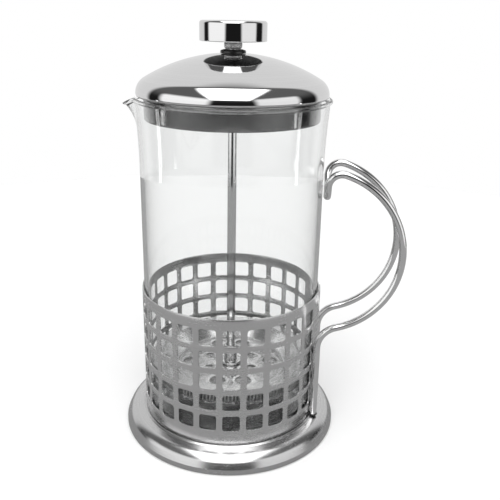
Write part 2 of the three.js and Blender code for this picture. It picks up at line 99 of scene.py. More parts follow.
# %% Node builder
class Tree:
    """Adds and links nodes. An input is a number, a tuple, or the output socket of another node."""

    def __init__(self, nodes, links):
        self.nodes = nodes
        self.links = links

    def add(self, kind, inputs=None, **settings):
        node = self.nodes.new(kind)
        for name, value in settings.items():
            setattr(node, name, value)
        for key, value in (inputs or {}).items():
            self.feed(node.inputs[key], value)
        return node

    def feed(self, socket, value):
        if isinstance(value, bpy.types.NodeSocket):
            self.links.new(value, socket)
        else:
            socket.default_value = value

    def math(self, operation, first, second=0.0):
        node = self.add("ShaderNodeMath", {0: first, 1: second}, operation=operation)
        return node.outputs[0]

    def times(self, first, second):
        return self.math("MULTIPLY", first, second)

    def plus(self, first, second):
        return self.math("ADD", first, second)

    def minus(self, first, second):
        return self.math("SUBTRACT", first, second)

    def over(self, first, second):
        return self.math("DIVIDE", first, second)

    def vector(self, operation, first, second=(0, 0, 0)):
        node = self.add("ShaderNodeVectorMath", {0: first, 1: second}, operation=operation)
        return node.outputs["Value" if operation in ("DOT_PRODUCT", "LENGTH") else "Vector"]

    def combine(self, x, y, z):
        return self.add("ShaderNodeCombineXYZ", {0: x, 1: y, 2: z}).outputs[0]

    def ramp(self, value, low, high, to_low=0.0, to_high=1.0, smooth=True):
        kind = "SMOOTHSTEP" if smooth else "LINEAR"
        inputs = {"Value": value, "From Min": low, "From Max": high}
        inputs.update({"To Min": to_low, "To Max": to_high})
        return self.add("ShaderNodeMapRange", inputs, interpolation_type=kind).outputs["Result"]

    def position(self):
        """The coordinates of the point that is being worked on, one output each."""
        here = self.add("GeometryNodeInputPosition").outputs[0]
        return self.add("ShaderNodeSeparateXYZ", {0: here}).outputs

    def circle(self, radius, resolution):
        inputs = {"Resolution": resolution, "Radius": radius}
        return self.add("GeometryNodeCurvePrimitiveCircle", inputs).outputs[0]

    def moved(self, geometry, place, **turned):
        inputs = {"Geometry": geometry, "Translation": place, **turned}
        return self.add("GeometryNodeTransform", inputs).outputs[0]

    def spread(self, points, instance, **scaled):
        """Puts an instance on every point and makes it real."""
        inputs = {"Points": points, "Instance": instance, **scaled}
        copies = self.add("GeometryNodeInstanceOnPoints", inputs)
        return self.real(copies.outputs[0])

    def real(self, geometry):
        return self.add("GeometryNodeRealizeInstances", {"Geometry": geometry}).outputs[0]

    def tube(self, curve, section, caps=False):
        inputs = {"Curve": curve, "Profile Curve": section, "Fill Caps": caps}
        return self.add("GeometryNodeCurveToMesh", inputs).outputs[0]

    def joined(self, *parts):
        join = self.add("GeometryNodeJoinGeometry")
        for part in parts:
            self.links.new(part, join.inputs[0])
        return join.outputs[0]

    def end(self, result, geometry, material):
        """Makes the geometry real, gives it its finish and passes it out."""
        inputs = {"Geometry": self.real(geometry), "Material": material}
        ready = self.add("GeometryNodeSetMaterial", inputs)
        self.feed(result["Geometry"], ready.outputs[0])


def make_group(name, kind, inputs, outputs):
    """A node group with named sockets. Returns the group, its builder, and its two end nodes."""
    group = bpy.data.node_groups.new(name, kind)
    for title, socket, value in inputs:
        made = group.interface.new_socket(title, in_out="INPUT", socket_type=socket)
        if value is not None:
            made.default_value = value
    for title, socket in outputs:
        group.interface.new_socket(title, in_out="OUTPUT", socket_type=socket)
    tree = Tree(group.nodes, group.links)
    return group, tree, tree.add("NodeGroupInput").outputs, tree.add("NodeGroupOutput").inputs


FLOAT = "NodeSocketFloat"
COUNT = "NodeSocketInt"
VECTOR = "NodeSocketVector"
GEOMETRY = "NodeSocketGeometry"

# %% [markdown]
# ## Studio
# Polished steel has no colour of its own to speak of. What one sees in it is the room, so the room
# is designed first: one large soft box in front and overhead, one on each side down to the height
# of the table, two short strips that draw the highlights on the glass, a pale wall behind,
# and darkness everywhere else. Real lamps would do, but a world made of soft rectangles is free of
# noise and stays in place however the press is turned. The camera, and whatever it sees through
# the glass, meets a white backdrop.

# %% A soft box as a node group
panel_group, tree, given, result = make_group(
    "soft_box",
    "ShaderNodeTree",
    [
        ("Direction", VECTOR, None),
        ("Facing", VECTOR, None),
        ("Across", VECTOR, None),
        ("Half Width", FLOAT, 0.5),
        ("Half Height", FLOAT, 0.5),
        ("Softness", FLOAT, 0.1),
    ],
    [("Mask", FLOAT)],
)
ahead = tree.vector("DOT_PRODUCT", given["Direction"], given["Facing"])
safe = tree.math("MAXIMUM", ahead, 0.001)
upward = tree.vector("CROSS_PRODUCT", given["Across"], given["Facing"])
masks = [tree.ramp(ahead, 0.0, 0.05)]
for axis, half in ((given["Across"], "Half Width"), (upward, "Half Height")):
    off = tree.math("ABSOLUTE", tree.vector("DOT_PRODUCT", given["Direction"], axis))
    off = tree.over(off, safe)
    inner = tree.minus(given[half], given["Softness"])
    masks.append(tree.ramp(off, inner, given[half], 1.0, 0.0))
tree.feed(result["Mask"], tree.times(masks[0], tree.times(*masks[1:])))
print("soft box nodes", len(panel_group.nodes))

# %% World
PANELS = {  # azimuth from the camera, elevation, half width, half height, softness, strength
    "front_box": (-3, 62, 0.56, 0.90, 0.14, 2.75),
    "left_box": (-59, 8, 0.76, 0.50, 0.26, 1.14),
    "right_box": (55, 8, 0.64, 0.50, 0.22, 0.98),
    "left_strip": (-98, -18, 0.03, 0.12, 0.015, 6.0),
    "right_strip": (86, -18, 0.03, 0.12, 0.015, 5.0),
}
BACKDROP = 1.0
BACKDROP_LOW = 0.7  # what the glass shows of the room's front, as a share of the backdrop
WALL_GLOW = 0.80
ROOM_GLOW = (0.012, 0.13)  # low and high in the room
WALL_EDGE = (0.32, 0.50)  # how directly behind the press the pale wall begins


def direction(azimuth, elevation):
    """A direction, in degrees from the camera's side towards its right, and up from the table."""
    turn = CAMERA_AZIMUTH + math.radians(azimuth)
    rise = math.radians(elevation)
    flat = Vector((math.sin(turn), -math.cos(turn), 0)) * math.cos(rise)
    return Vector((flat.x, flat.y, math.sin(rise)))


def seen_through(tree, path):
    """1 for what the eye meets straight through glass, and 0 once a mirror has been in between."""
    mirrors = tree.math("MINIMUM", path["Glossy Depth"], 1.0)
    return tree.times(path["Is Transmission Ray"], tree.minus(1.0, mirrors))


def make_world():
    world = bpy.data.worlds.new("studio")
    world.use_nodes = True
    world.node_tree.nodes.clear()
    tree = Tree(world.node_tree.nodes, world.node_tree.links)
    ray = tree.add("ShaderNodeTexCoord").outputs["Generated"]
    behind = tree.vector("DOT_PRODUCT", ray, tuple(direction(180, 0)))
    wall = tree.ramp(behind, *WALL_EDGE)
    height = tree.vector("DOT_PRODUCT", ray, (0.0, 0.0, 1.0))
    room = tree.ramp(height, 0.1, 0.6, *ROOM_GLOW)
    light = tree.add("ShaderNodeMix", {0: wall, 2: room, 3: WALL_GLOW}).outputs[0]
    for azimuth, elevation, wide, tall, soft, strength in PANELS.values():
        panel = tree.add("ShaderNodeGroup", node_tree=panel_group)
        tree.feed(panel.inputs["Direction"], ray)
        tree.feed(panel.inputs["Facing"], tuple(direction(azimuth, elevation)))
        tree.feed(panel.inputs["Across"], tuple(direction(azimuth + 90, 0)))
        tree.feed(panel.inputs["Half Width"], wide)
        tree.feed(panel.inputs["Half Height"], tall)
        tree.feed(panel.inputs["Softness"], soft)
        lit = tree.times(panel.outputs["Mask"], strength)
        light = tree.plus(light, lit)
    path = tree.add("ShaderNodeLightPath").outputs
    plain = tree.math("MAXIMUM", path["Is Camera Ray"], seen_through(tree, path))
    backdrop = tree.ramp(behind, -0.9, 0.3, BACKDROP * BACKDROP_LOW, BACKDROP)
    backdrop = tree.math("MAXIMUM", backdrop, path["Is Camera Ray"])
    light = tree.add("ShaderNodeMix", {0: plain, 2: light, 3: backdrop}).outputs[0]
    background = tree.add("ShaderNodeBackground", {"Color": (1, 1, 1, 1), "Strength": light})
    output = tree.add("ShaderNodeOutputWorld")
    tree.feed(output.inputs["Surface"], background.outputs[0])
    return world


bpy.context.scene.world = make_world()
bpy.context.scene.view_settings.view_transform = "Standard"
print("lights", ", ".join(PANELS))

# %% [markdown]
# The table is a round pale board. Steel standing on a white table looks washed out, because it
# mirrors the table, so in mirrors the board is a middle grey, while to the eye it is white.

# %% Floor
FLOOR_RADIUS = 0.55
FLOOR_SIDES = 96
FLOOR_WHITE = 0.94
FLOOR_IN_MIRRORS = 0.34


def make_floor():
    mesh = bpy.data.meshes.new("floor")
    maker = bmesh.new()
    bmesh.ops.create_circle(maker, cap_ends=True, segments=FLOOR_SIDES, radius=FLOOR_RADIUS)
    maker.to_mesh(mesh)
    maker.free()
    floor = bpy.data.objects.new("floor", mesh)
    bpy.context.scene.collection.objects.link(floor)
    material = bpy.data.materials.new("pale_board")
    material.use_nodes = True
    material.node_tree.nodes.clear()
    tree = Tree(material.node_tree.nodes, material.node_tree.links)
    path = tree.add("ShaderNodeLightPath").outputs
    seen = tree.math("MAXIMUM", path["Is Camera Ray"], seen_through(tree, path))
    shade = tree.ramp(seen, 0.0, 1.0, FLOOR_IN_MIRRORS, FLOOR_WHITE, smooth=False)
    board = tree.add("ShaderNodeBsdfDiffuse", {"Color": tree.combine(shade, shade, shade)})
    output = tree.add("ShaderNodeOutputMaterial")
    tree.feed(output.inputs["Surface"], board.outputs[0])
    mesh.materials.append(material)
    return floor


floor = make_floor()
print("floor radius", FLOOR_RADIUS)

# %% [markdown]
# ## Surface effects
# Three effects are shared by the metals. *Turning grain* is the fine ring pattern that a lathe or
# a polishing wheel leaves round an axis. *Drawn grain* runs along the height, as on rolled sheet.
# *Handling haze* is the uneven film that fingers and steam leave, which only changes the gloss.
# Each is a node group that gives out masks and heights, so every metal can use them its own way.

# %% Turning grain
turning_group, tree, given, result = make_group(
    "turning_grain",
    "ShaderNodeTree",
    [("Lines Per Metre", FLOAT, 4000.0), ("Waviness", FLOAT, 0.2)],
    [("Height", FLOAT), ("Mask", FLOAT)],
)
place = tree.add("ShaderNodeTexCoord").outputs["Object"]
parts = tree.add("ShaderNodeSeparateXYZ", {0: place}).outputs
radius = tree.vector("LENGTH", tree.combine(parts[0], parts[1], 0.0))
slow = tree.add("ShaderNodeTexNoise", {"Vector": place, "Scale": 60.0, "Detail": 1.0})
wave = tree.times(slow.outputs["Fac"], given["Waviness"])
line = tree.combine(
    tree.times(radius, given["Lines Per Metre"]),
    tree.times(parts[2], given["Lines Per Metre"]),
    wave,
)
fine = tree.add("ShaderNodeTexNoise", {"Vector": line, "Scale": 1.0, "Detail": 3.0})
tree.feed(result["Height"], fine.outputs["Fac"])
tree.feed(result["Mask"], tree.ramp(fine.outputs["Fac"], 0.35, 0.65))

# %% Rolled grain
rolled_group, tree, given, result = make_group(
    "rolled_grain",
    "ShaderNodeTree",
    [("Stretch", VECTOR, (1.0, 1.0, 0.05)), ("Scale", FLOAT, 3000.0)],
    [("Height", FLOAT), ("Mask", FLOAT)],
)
place = tree.add("ShaderNodeTexCoord").outputs["Object"]
drawn = tree.vector("MULTIPLY", place, given["Stretch"])
fine = tree.add("ShaderNodeTexNoise", {"Vector": drawn, "Scale": given["Scale"], "Detail": 3.0})
tree.feed(result["Height"], fine.outputs["Fac"])
tree.feed(result["Mask"], tree.ramp(fine.outputs["Fac"], 0.3, 0.7))

# %% Handling haze
haze_group, tree, given, result = make_group(
    "handling_haze",
    "ShaderNodeTree",
    [("Scale", FLOAT, 45.0), ("Cover", FLOAT, 0.5)],
    [("Mask", FLOAT)],
)
place = tree.add("ShaderNodeTexCoord").outputs["Object"]
cloud = tree.add(
    "ShaderNodeTexNoise",
    {"Vector": place, "Scale": given["Scale"], "Detail": 4.0, "Distortion": 0.6},
)
speck = tree.add("ShaderNodeTexNoise", {"Vector": place, "Scale": 900.0, "Detail": 2.0})
both = tree.times(cloud.outputs["Fac"], tree.plus(speck.outputs["Fac"], 0.5))
low = tree.minus(0.85, given["Cover"])
tree.feed(result["Mask"], tree.ramp(both, low, 0.75))
print("effects", turning_group.name, rolled_group.name, haze_group.name)

# %% [markdown]
# ## Finishes
# Every steel part shares one recipe: a metal whose gloss is its own roughness plus a little haze,
# and a grain that tilts the surface and shades its colour by a few per cent. What tells a mirror
# polished lid from a satin foot is the roughness and how deep the grain is.


# %% The steel recipe
def finish(surface, name):
    material = bpy.data.materials.new(name)
    material.use_nodes = True
    material.node_tree.nodes.clear()
    tree = Tree(material.node_tree.nodes, material.node_tree.links)
    surface(tree)
    return material


def steel(name, shade, gloss, haze, grain, depth, group=None, contrast=0.06, **grain_inputs):
    """Steel of a grey shade. gloss is its roughness, haze and grain are added to it, and depth is
    the height of the grain in metres."""

    def surface(tree):
        film = tree.add("ShaderNodeGroup", node_tree=haze_group)
        lines = tree.add("ShaderNodeGroup", node_tree=group or turning_group)
        for key, value in grain_inputs.items():
            tree.feed(lines.inputs[key.replace("_", " ")], value)
        rough = tree.times(film.outputs["Mask"], haze)
        rough = tree.plus(rough, tree.times(lines.outputs["Mask"], grain))
        rough = tree.plus(rough, gloss)
        light = tree.ramp(lines.outputs["Mask"], 0, 1, shade * (1 - contrast), shade, smooth=False)
        colour = tree.combine(light, tree.times(light, 0.998), light)
        bump = tree.add(
            "ShaderNodeBump",
            {"Strength": 1.0, "Distance": depth, "Height": lines.outputs["Height"]},
        )
        metal = tree.add("ShaderNodeBsdfPrincipled")
        tree.feed(metal.inputs["Base Color"], colour)
        tree.feed(metal.inputs["Metallic"], 1.0)
        tree.feed(metal.inputs["Roughness"], rough)
        tree.feed(metal.inputs["Normal"], bump.outputs["Normal"])
        output = tree.add("ShaderNodeOutputMaterial")
        tree.feed(output.inputs["Surface"], metal.outputs[0])

    return finish(surface, name)


# %% The steels
TURNED = {"Lines_Per_Metre": 6000.0, "Waviness": 0.15}
ROUND_THE_BAND = (0.03, 0.03, 1.0)
mirror_steel = steel("mirror_steel", 0.78, 0.03, 0.05, 0.01, 0.0000001, **TURNED)
satin_steel = steel("satin_steel", 0.64, 0.17, 0.06, 0.06, 0.0000004, **TURNED)
plate_steel = steel("plate_steel", 0.74, 0.17, 0.05, 0.03, 0.0000002, **TURNED)
# The neck is the knob's polished steel made rough, which is its own finish. Its grey is raised as
# painted light that makes up for the shade under the knob.
neck_steel_painted_light = steel("neck_steel_painted_light", 0.86, 0.55, 0.06, 0.05, 0.0000004, **TURNED)
sleeve_steel = steel(
    "sleeve_steel", 0.72, 0.20, 0.05, 0.06, 0.0000006, group=rolled_group, Stretch=ROUND_THE_BAND
)
brushed_steel = steel("brushed_steel", 0.40, 0.13, 0.05, 0.06, 0.0000004, **TURNED)
drawn_steel = steel(
    "drawn_steel", 0.84, 0.06, 0.05, 0.03, 0.0000003, group=rolled_group, Stretch=(1, 1, 0.1)
)
turned_steel = steel("turned_steel", 0.58, 0.12, 0.05, 0.05, 0.0000004, **TURNED)
dark_steel = steel("dark_steel", 0.07, 0.30, 0.05, 0.06, 0.0000004, **TURNED)
mesh_steel = steel("mesh_steel", 0.55, 0.25, 0.05, 0.05, 0.0000005, **TURNED)

# %% [markdown]
# The beaker is borosilicate glass, clear and almost colourless. Light from the lamps goes straight
# through a clear wall, so shadow rays see a transparent shader, and the sieve inside stays lit.


# %% Glass and plastic
def clear_glass_surface(tree):
    film = tree.add("ShaderNodeGroup", node_tree=haze_group)
    tree.feed(film.inputs["Scale"], 30.0)
    glass = tree.add("ShaderNodeBsdfPrincipled")
    tree.feed(glass.inputs["Base Color"], (0.965, 0.97, 0.968, 1))
    tree.feed(glass.inputs["Transmission Weight"], 1.0)
    tree.feed(glass.inputs["IOR"], 1.47)
    tree.feed(glass.inputs["Roughness"], tree.times(film.outputs["Mask"], 0.02))
    clear = tree.add("ShaderNodeBsdfTransparent", {"Color": (0.93, 0.93, 0.93, 1)})
    shadow = tree.add("ShaderNodeLightPath").outputs["Is Shadow Ray"]
    mixed = tree.add("ShaderNodeMixShader", {0: shadow, 1: glass.outputs[0], 2: clear.outputs[0]})
    output = tree.add("ShaderNodeOutputMaterial")
    tree.feed(output.inputs["Surface"], mixed.outputs[0])


def core_plastic_surface(tree):
    film = tree.add("ShaderNodeGroup", node_tree=haze_group)
    grain = tree.add("ShaderNodeTexNoise", {"Scale": 1500.0, "Detail": 2.0})
    tree.feed(grain.inputs["Vector"], tree.add("ShaderNodeTexCoord").outputs["Object"])
    bump = tree.add("ShaderNodeBump", {"Distance": 0.00001, "Height": grain.outputs["Fac"]})
    plastic = tree.add("ShaderNodeBsdfPrincipled")
    tree.feed(plastic.inputs["Base Color"], (0.02, 0.02, 0.021, 1))
    rough = tree.ramp(film.outputs["Mask"], 0.0, 1.0, 0.4, 0.6, smooth=False)
    tree.feed(plastic.inputs["Roughness"], rough)
    tree.feed(plastic.inputs["Normal"], bump.outputs["Normal"])
    output = tree.add("ShaderNodeOutputMaterial")
    tree.feed(output.inputs["Surface"], plastic.outputs[0])


clear_glass = finish(clear_glass_surface, "clear_glass")
core_plastic = finish(core_plastic_surface, "core_plastic")
print("finishes", len(bpy.data.materials))

# %% [markdown]
# ## Outlines
# Most parts of the press are turned or spun on a lathe, so each is an outline swept round the
# axis. Sharp corners never catch light as real ones do, so every corner of an outline may carry a
# fillet. Sheet parts are drawn as one line and then given their wall.


# %% Outline helpers
def arc(centre_r, centre_z, radius, start, end, steps=8):
    """Points on an arc, its angles in degrees from the outward direction, turning upwards."""
    points = []
    for i in range(steps + 1):
        angle = math.radians(start + (end - start) * i / steps)
        points.append((centre_r + radius * math.cos(angle), centre_z + radius * math.sin(angle)))
    return points


def fillet(before, corner, after, radius, steps=5):
    """The points that round one corner."""
    corner = Vector(corner)
    back = (Vector(before) - corner).normalized()
    ahead = (Vector(after) - corner).normalized()
    half = back.angle(ahead) / 2
    if radius <= 0 or half > math.radians(89.5):
        return [tuple(corner)]
    centre = corner + (back + ahead).normalized() * radius / math.sin(half)
    first = corner + back * radius / math.tan(half) - centre
    last = corner + ahead * radius / math.tan(half) - centre
    sweep = first.angle(last)
    points = []
    for i in range(steps + 1):
        t = i / steps
        mixed = first * math.sin((1 - t) * sweep) + last * math.sin(t * sweep)
        points.append(tuple(centre + mixed / math.sin(sweep)))
    return points


def rounded(corners, closed=False, steps=5):
    """A line through (radius, height, fillet) corners. A corner without a fillet stays sharp."""
    points = []
    count = len(corners)
    for i, (r, z, *size) in enumerate(corners):
        at_end = not closed and i in (0, count - 1)
        if at_end or not size:
            points.append((r, z))
            continue
        before = corners[i - 1][:2]
        after = corners[(i + 1) % count][:2]
        points.extend(fillet(before, (r, z), after, size[0], steps))
    return points


def walled(line, wall):
    """Gives an open line a wall on its right-hand side and closes it with a rounded hem."""
    points = [Vector(p) for p in line]
    normals = []
    for i, point in enumerate(points):
        ahead = points[min(i + 1, len(points) - 1)] - point
        back = point - points[max(i - 1, 0)]
        along = (ahead.normalized() if ahead.length else back.normalized())
        along = along + (back.normalized() if back.length else ahead.normalized())
        along.normalize()
        normals.append(Vector((along.y, -along.x)))
    inner = [p + n * wall for p, n in zip(points, normals)]
    outline = [tuple(p) for p in points]
    if points[-1].x > 1e-6:
        middle = points[-1] + normals[-1] * wall / 2
        along = Vector((-normals[-1].y, normals[-1].x))
        outline.append(tuple(middle + along * wall / 3))
    outline.extend(tuple(p) for p in reversed(inner))
    return [(max(r, 0.0), z) for r, z in outline]


# %% Mesh helpers
SIDES = 144
SMALL_SIDES = 64
MERGE = 1e-6


def shown(name, mesh, sharp_deg=32):
    """Makes an object of a mesh, smooth except at its sharp edges."""
    mesh.shade_smooth()
    mesh.set_sharp_from_angle(angle=math.radians(sharp_deg))
    piece = bpy.data.objects.new(name, mesh)
    bpy.context.scene.collection.objects.link(piece)
    return piece


def cleaned(mesh):
    """Merges what coincides, drops empty faces and turns every face outwards."""
    maker = bmesh.new()
    maker.from_mesh(mesh)
    bmesh.ops.remove_doubles(maker, verts=maker.verts, dist=MERGE)
    bmesh.ops.dissolve_degenerate(maker, edges=maker.edges, dist=MERGE / 10)
    bmesh.ops.recalc_face_normals(maker, faces=maker.faces)
    maker.to_mesh(mesh)
    maker.free()
    return mesh


def swept(name, rings):
    """Joins rings of points, each ring to the next and the last to the first."""
    count = len(rings[0])
    vertices = [point for ring in rings for point in ring]
    faces = []
    for i in range(len(rings)):
        lower = i * count
        upper = ((i + 1) % len(rings)) * count
        for j in range(count):
            after = (j + 1) % count
            faces.append((lower + j, lower + after, upper + after, upper + j))
    mesh = bpy.data.meshes.new(name)
    mesh.from_pydata(vertices, [], faces)
    return cleaned(mesh)


def turned(name, outline, sides=SIDES, bend=None):
    """Turns a closed outline, or one from axis to axis, about Z. bend may move each point."""
    rings = []
    for radius, height in outline:
        ring = []
        for j in range(sides):
            angle = 2 * math.pi * j / sides
            point = Vector((radius * math.cos(angle), radius * math.sin(angle), height))
            ring.append(bend(point) if bend else point)
        rings.append(ring)
    return shown(name, swept(name, rings))


def placed(piece, body, slot, material, *nodes):
    """Hands a finished piece over: what it rides on, its finish and what it replaces. The slot is not
    used.
    """
    piece.data.materials.clear()
    piece.data.materials.append(material)
    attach(piece, body)
    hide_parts(*nodes)
    print(f"{piece.name}: {len(piece.data.polygons)} faces on {body}")
    return piece


def lathe(name, corners, body, slot, material, *nodes, wall=0.0, sides=SIDES, steps=5):
    """Turns and places a part from the corners of its outline, or of one face of its sheet."""
    line = rounded(corners, closed=not wall, steps=steps)
    outline = walled(line, wall) if wall else line
    return placed(turned(name, outline, sides), body, slot, material, *nodes)


def ring_of(node):
    """The outer radius, lowest and highest point of a round node."""
    low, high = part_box(node)
    return max(high.x, high.y), low.z, high.z


# %% [markdown]
# ## Foot
# The foot is a spun dish: a flat floor for the beaker, a groove round the sleeve, a narrow ledge
# outside it, a rolled shoulder and an apron down to a hem. A lathe outline with fillets gives it.
# The groove's lip stands a little higher than the ledge, which leaves a fine bright step beside
# the dark line of the groove. The plate that closes the foot from below is dished up to its lap
# over the hem.

# %% Foot
FOOT_SHEET = 0.7 * MM
GROOVE_WIDTH = 0.6 * MM
GROOVE_DEPTH = 0.6 * MM
LIP_WIDTH = 0.3 * MM
LEDGE_DROP = 0.5 * MM
SHOULDER_DROP = 0.9 * MM  # how far the ledge falls on its way out to the shoulder
SHOULDER_ROLL_R = 6.0 * MM
APRON_RUN = 2.5 * MM
APRON_FOOT = 2.8 * MM  # height at which the sloping apron turns upright
HEM_R = 0.6 * MM
HEM_WIDTH = 3.8 * MM
foot_r, foot_low, foot_top = ring_of("base_dish")
sleeve_r, sleeve_low, sleeve_top = ring_of("sleeve")
groove_out = sleeve_r + GROOVE_WIDTH
groove_z = foot_top - GROOVE_DEPTH
ledge_z = foot_top - LEDGE_DROP
foot_corners = [
    (0, foot_top),
    (sleeve_r, foot_top),
    (sleeve_r + 0.1 * MM, groove_z),
    (groove_out - 0.1 * MM, groove_z),
    (groove_out, foot_top, 0.05 * MM),
    (groove_out + LIP_WIDTH, foot_top, 0.2 * MM),
    (groove_out + LIP_WIDTH + 0.7 * MM, ledge_z, 0.4 * MM),
    (foot_r - APRON_RUN, ledge_z - SHOULDER_DROP, SHOULDER_ROLL_R),
    (foot_r, foot_low + APRON_FOOT, 2.0 * MM),
    (foot_r, foot_low + HEM_R, 0.5 * MM),
    (foot_r - HEM_R, foot_low, 0.3 * MM),
    (foot_r - HEM_WIDTH, foot_low),
]
lathe(
    "foot", foot_corners, "stand", "satin_steel", satin_steel, "base_dish",
    wall=FOOT_SHEET, steps=14, sides=192,
)

# %% Bottom plate
COVER_RISE = 0.8 * MM  # how far the cover's flat stands above its lowest point
COVER_SHEET = 0.78 * MM
COVER_FOLD = 0.5 * MM
COVER_LAP = 1.9 * MM
COVER_SLOPE = 0.3 * MM
plate_r, plate_low, plate_top = ring_of("bottom_plate")
lap_r = plate_r - COVER_LAP
plate_corners = [
    (0, plate_low + COVER_RISE),
    (lap_r - COVER_SLOPE, plate_low + COVER_RISE, COVER_FOLD),
    (lap_r, plate_top, COVER_FOLD),
    (plate_r, plate_top),
]
lathe(
    "bottom_cover", plate_corners, "stand", "satin_steel", satin_steel, "bottom_plate",
    wall=COVER_SHEET,
)

# %% [markdown]
# ## Perforated sleeve
# The sleeve is sheet steel punched with rows of square holes while flat, then rolled into a band
# whose ends lap between the two wires of the handle. Geometry Nodes repeat that order: one cell with
# a rounded square hole is placed on a grid, plain strips are added around it, everything is welded,
# and the flat sheet is rolled round the axis. A Solidify modifier gives the sheet its thickness and
# a tiny bevel takes the sharpness off the punched edges.

# %% Sleeve sizes
HOLE = 8.1 * MM
HOLE_CORNER = 1.25 * MM
COLUMNS = 22
ROWS = 5
COLUMN_DEG = 14.5
TOP_BAND = 5.2 * MM
BOTTOM_BAND = 7.2 * MM
SEAM_DEG = 3.6
CELL_STEPS = 8  # how many times a cell is divided each way
SLEEVE_SHEET = 0.5 * MM
LEAD_CELLS = 2.0  # plain sheet before the first column of holes, in cells
TAIL_CELLS = 1.5  # plain sheet after the last column
LAP_RAMP_DEG = 5.0
WELD_REACH = 0.02 * MM  # points of the flat sheet nearer than this become one
row_pitch = (sleeve_top - sleeve_low - TOP_BAND - BOTTOM_BAND - HOLE) / (ROWS - 1)
band_r = sleeve_r - SLEEVE_SHEET / 2
cell_width = math.radians(COLUMN_DEG) * band_r
first_edge_deg = SEAM_DEG + (360 - (COLUMNS - 1) * COLUMN_DEG) / 2 - COLUMN_DEG / 2
start_deg = first_edge_deg - LEAD_CELLS * COLUMN_DEG
print("holes", COLUMNS * ROWS, "row pitch in mm", round(row_pitch / MM, 3))

# %% Sleeve tree
sleeve_tree, tree, given, result = make_group(
    "punched_band",
    "GeometryNodeTree",
    [
        ("Geometry", GEOMETRY, None),
        ("Radius", FLOAT, band_r),
        ("Bottom", FLOAT, sleeve_low),
        ("Cell Width", FLOAT, cell_width),
        ("Cell Height", FLOAT, row_pitch),
        ("Hole", FLOAT, HOLE),
        ("Corner", FLOAT, HOLE_CORNER),
        ("Lower Strip", FLOAT, BOTTOM_BAND - (row_pitch - HOLE) / 2),
        ("Upper Strip", FLOAT, TOP_BAND - (row_pitch - HOLE) / 2),
        ("Start Angle", FLOAT, math.radians(start_deg)),
        ("Ramp From", FLOAT, 0.0),
        ("Ramp To", FLOAT, 1.0),
        ("Lap Rise", FLOAT, SLEEVE_SHEET * 1.1),
    ],
    [("Geometry", GEOMETRY)],
)


def strip(tree, left, width, bottom, height, across, up):
    """A plain grid of the sheet, from its left and bottom edges."""
    grid = tree.add(
        "GeometryNodeMeshGrid",
        {"Size X": width, "Size Y": height, "Vertices X": across + 1, "Vertices Y": up + 1},
    )
    middle_x = tree.plus(left, tree.times(width, 0.5))
    middle_y = tree.plus(bottom, tree.times(height, 0.5))
    return tree.moved(grid.outputs["Mesh"], tree.combine(middle_x, middle_y, 0.0))


width, height = given["Cell Width"], given["Cell Height"]
rectangle = tree.add("GeometryNodeCurvePrimitiveQuadrilateral", {"Width": width, "Height": height})
square = tree.add(
    "GeometryNodeCurvePrimitiveQuadrilateral", {"Width": given["Hole"], "Height": given["Hole"]}
)
outer = tree.add(
    "GeometryNodeSubdivideCurve", {"Curve": rectangle.outputs[0], "Cuts": CELL_STEPS - 1}
)
inner = tree.add("GeometryNodeSubdivideCurve", {"Curve": square.outputs[0], "Cuts": 3})
soft = tree.add(
    "GeometryNodeFilletCurve",
    {"Curve": inner.outputs[0], "Count": 4, "Radius": given["Corner"]},
    mode="POLY",
)
lines = tree.joined(soft.outputs[0], outer.outputs[0])
cell = tree.add("GeometryNodeFillCurve", {"Curve": lines})
lead = tree.times(width, LEAD_CELLS)
tail = tree.times(width, TAIL_CELLS)
holes_width = tree.times(width, float(COLUMNS))
holes_height = tree.times(height, float(ROWS))
first_row = tree.plus(given["Bottom"], given["Lower Strip"])
grid = tree.add(
    "GeometryNodeMeshGrid",
    {
        "Size X": tree.times(width, COLUMNS - 1.0),
        "Size Y": tree.times(height, ROWS - 1.0),
        "Vertices X": COLUMNS,
        "Vertices Y": ROWS,
    },
)
middle = tree.combine(
    tree.plus(lead, tree.times(holes_width, 0.5)),
    tree.plus(first_row, tree.times(holes_height, 0.5)),
    0.0,
)
punched = tree.spread(tree.moved(grid.outputs["Mesh"], middle), cell.outputs[0])
whole = tree.plus(tree.plus(lead, tail), holes_width)
whole_steps = int((COLUMNS + LEAD_CELLS + TAIL_CELLS) * CELL_STEPS)
upper_row = tree.plus(first_row, holes_height)
tail_left = tree.plus(lead, holes_width)
rows_up = ROWS * CELL_STEPS
strips = [
    strip(tree, 0.0, whole, given["Bottom"], given["Lower Strip"], whole_steps, 3),
    strip(tree, 0.0, whole, upper_row, given["Upper Strip"], whole_steps, 2),
    strip(tree, 0.0, lead, first_row, holes_height, int(LEAD_CELLS * CELL_STEPS), rows_up),
    strip(tree, tail_left, tail, first_row, holes_height, int(TAIL_CELLS * CELL_STEPS), rows_up),
]
sheet = tree.joined(punched, *strips)
welded = tree.add("GeometryNodeMergeByDistance", {"Geometry": sheet, "Distance": WELD_REACH})
flat = tree.position()
turn = tree.over(flat[0], given["Radius"])
ramp = tree.ramp(turn, given["Ramp From"], given["Ramp To"])
rolled_r = tree.plus(given["Radius"], tree.times(ramp, given["Lap Rise"]))
angle = tree.plus(turn, given["Start Angle"])
rolled = tree.combine(
    tree.times(rolled_r, tree.math("COSINE", angle)),
    tree.times(rolled_r, tree.math("SINE", angle)),
    flat[1],
)
band = tree.add("GeometryNodeSetPosition", {"Geometry": welded.outputs[0], "Position": rolled})
tree.end(result, band.outputs[0], sleeve_steel)
print("punched band nodes", len(sleeve_tree.nodes))


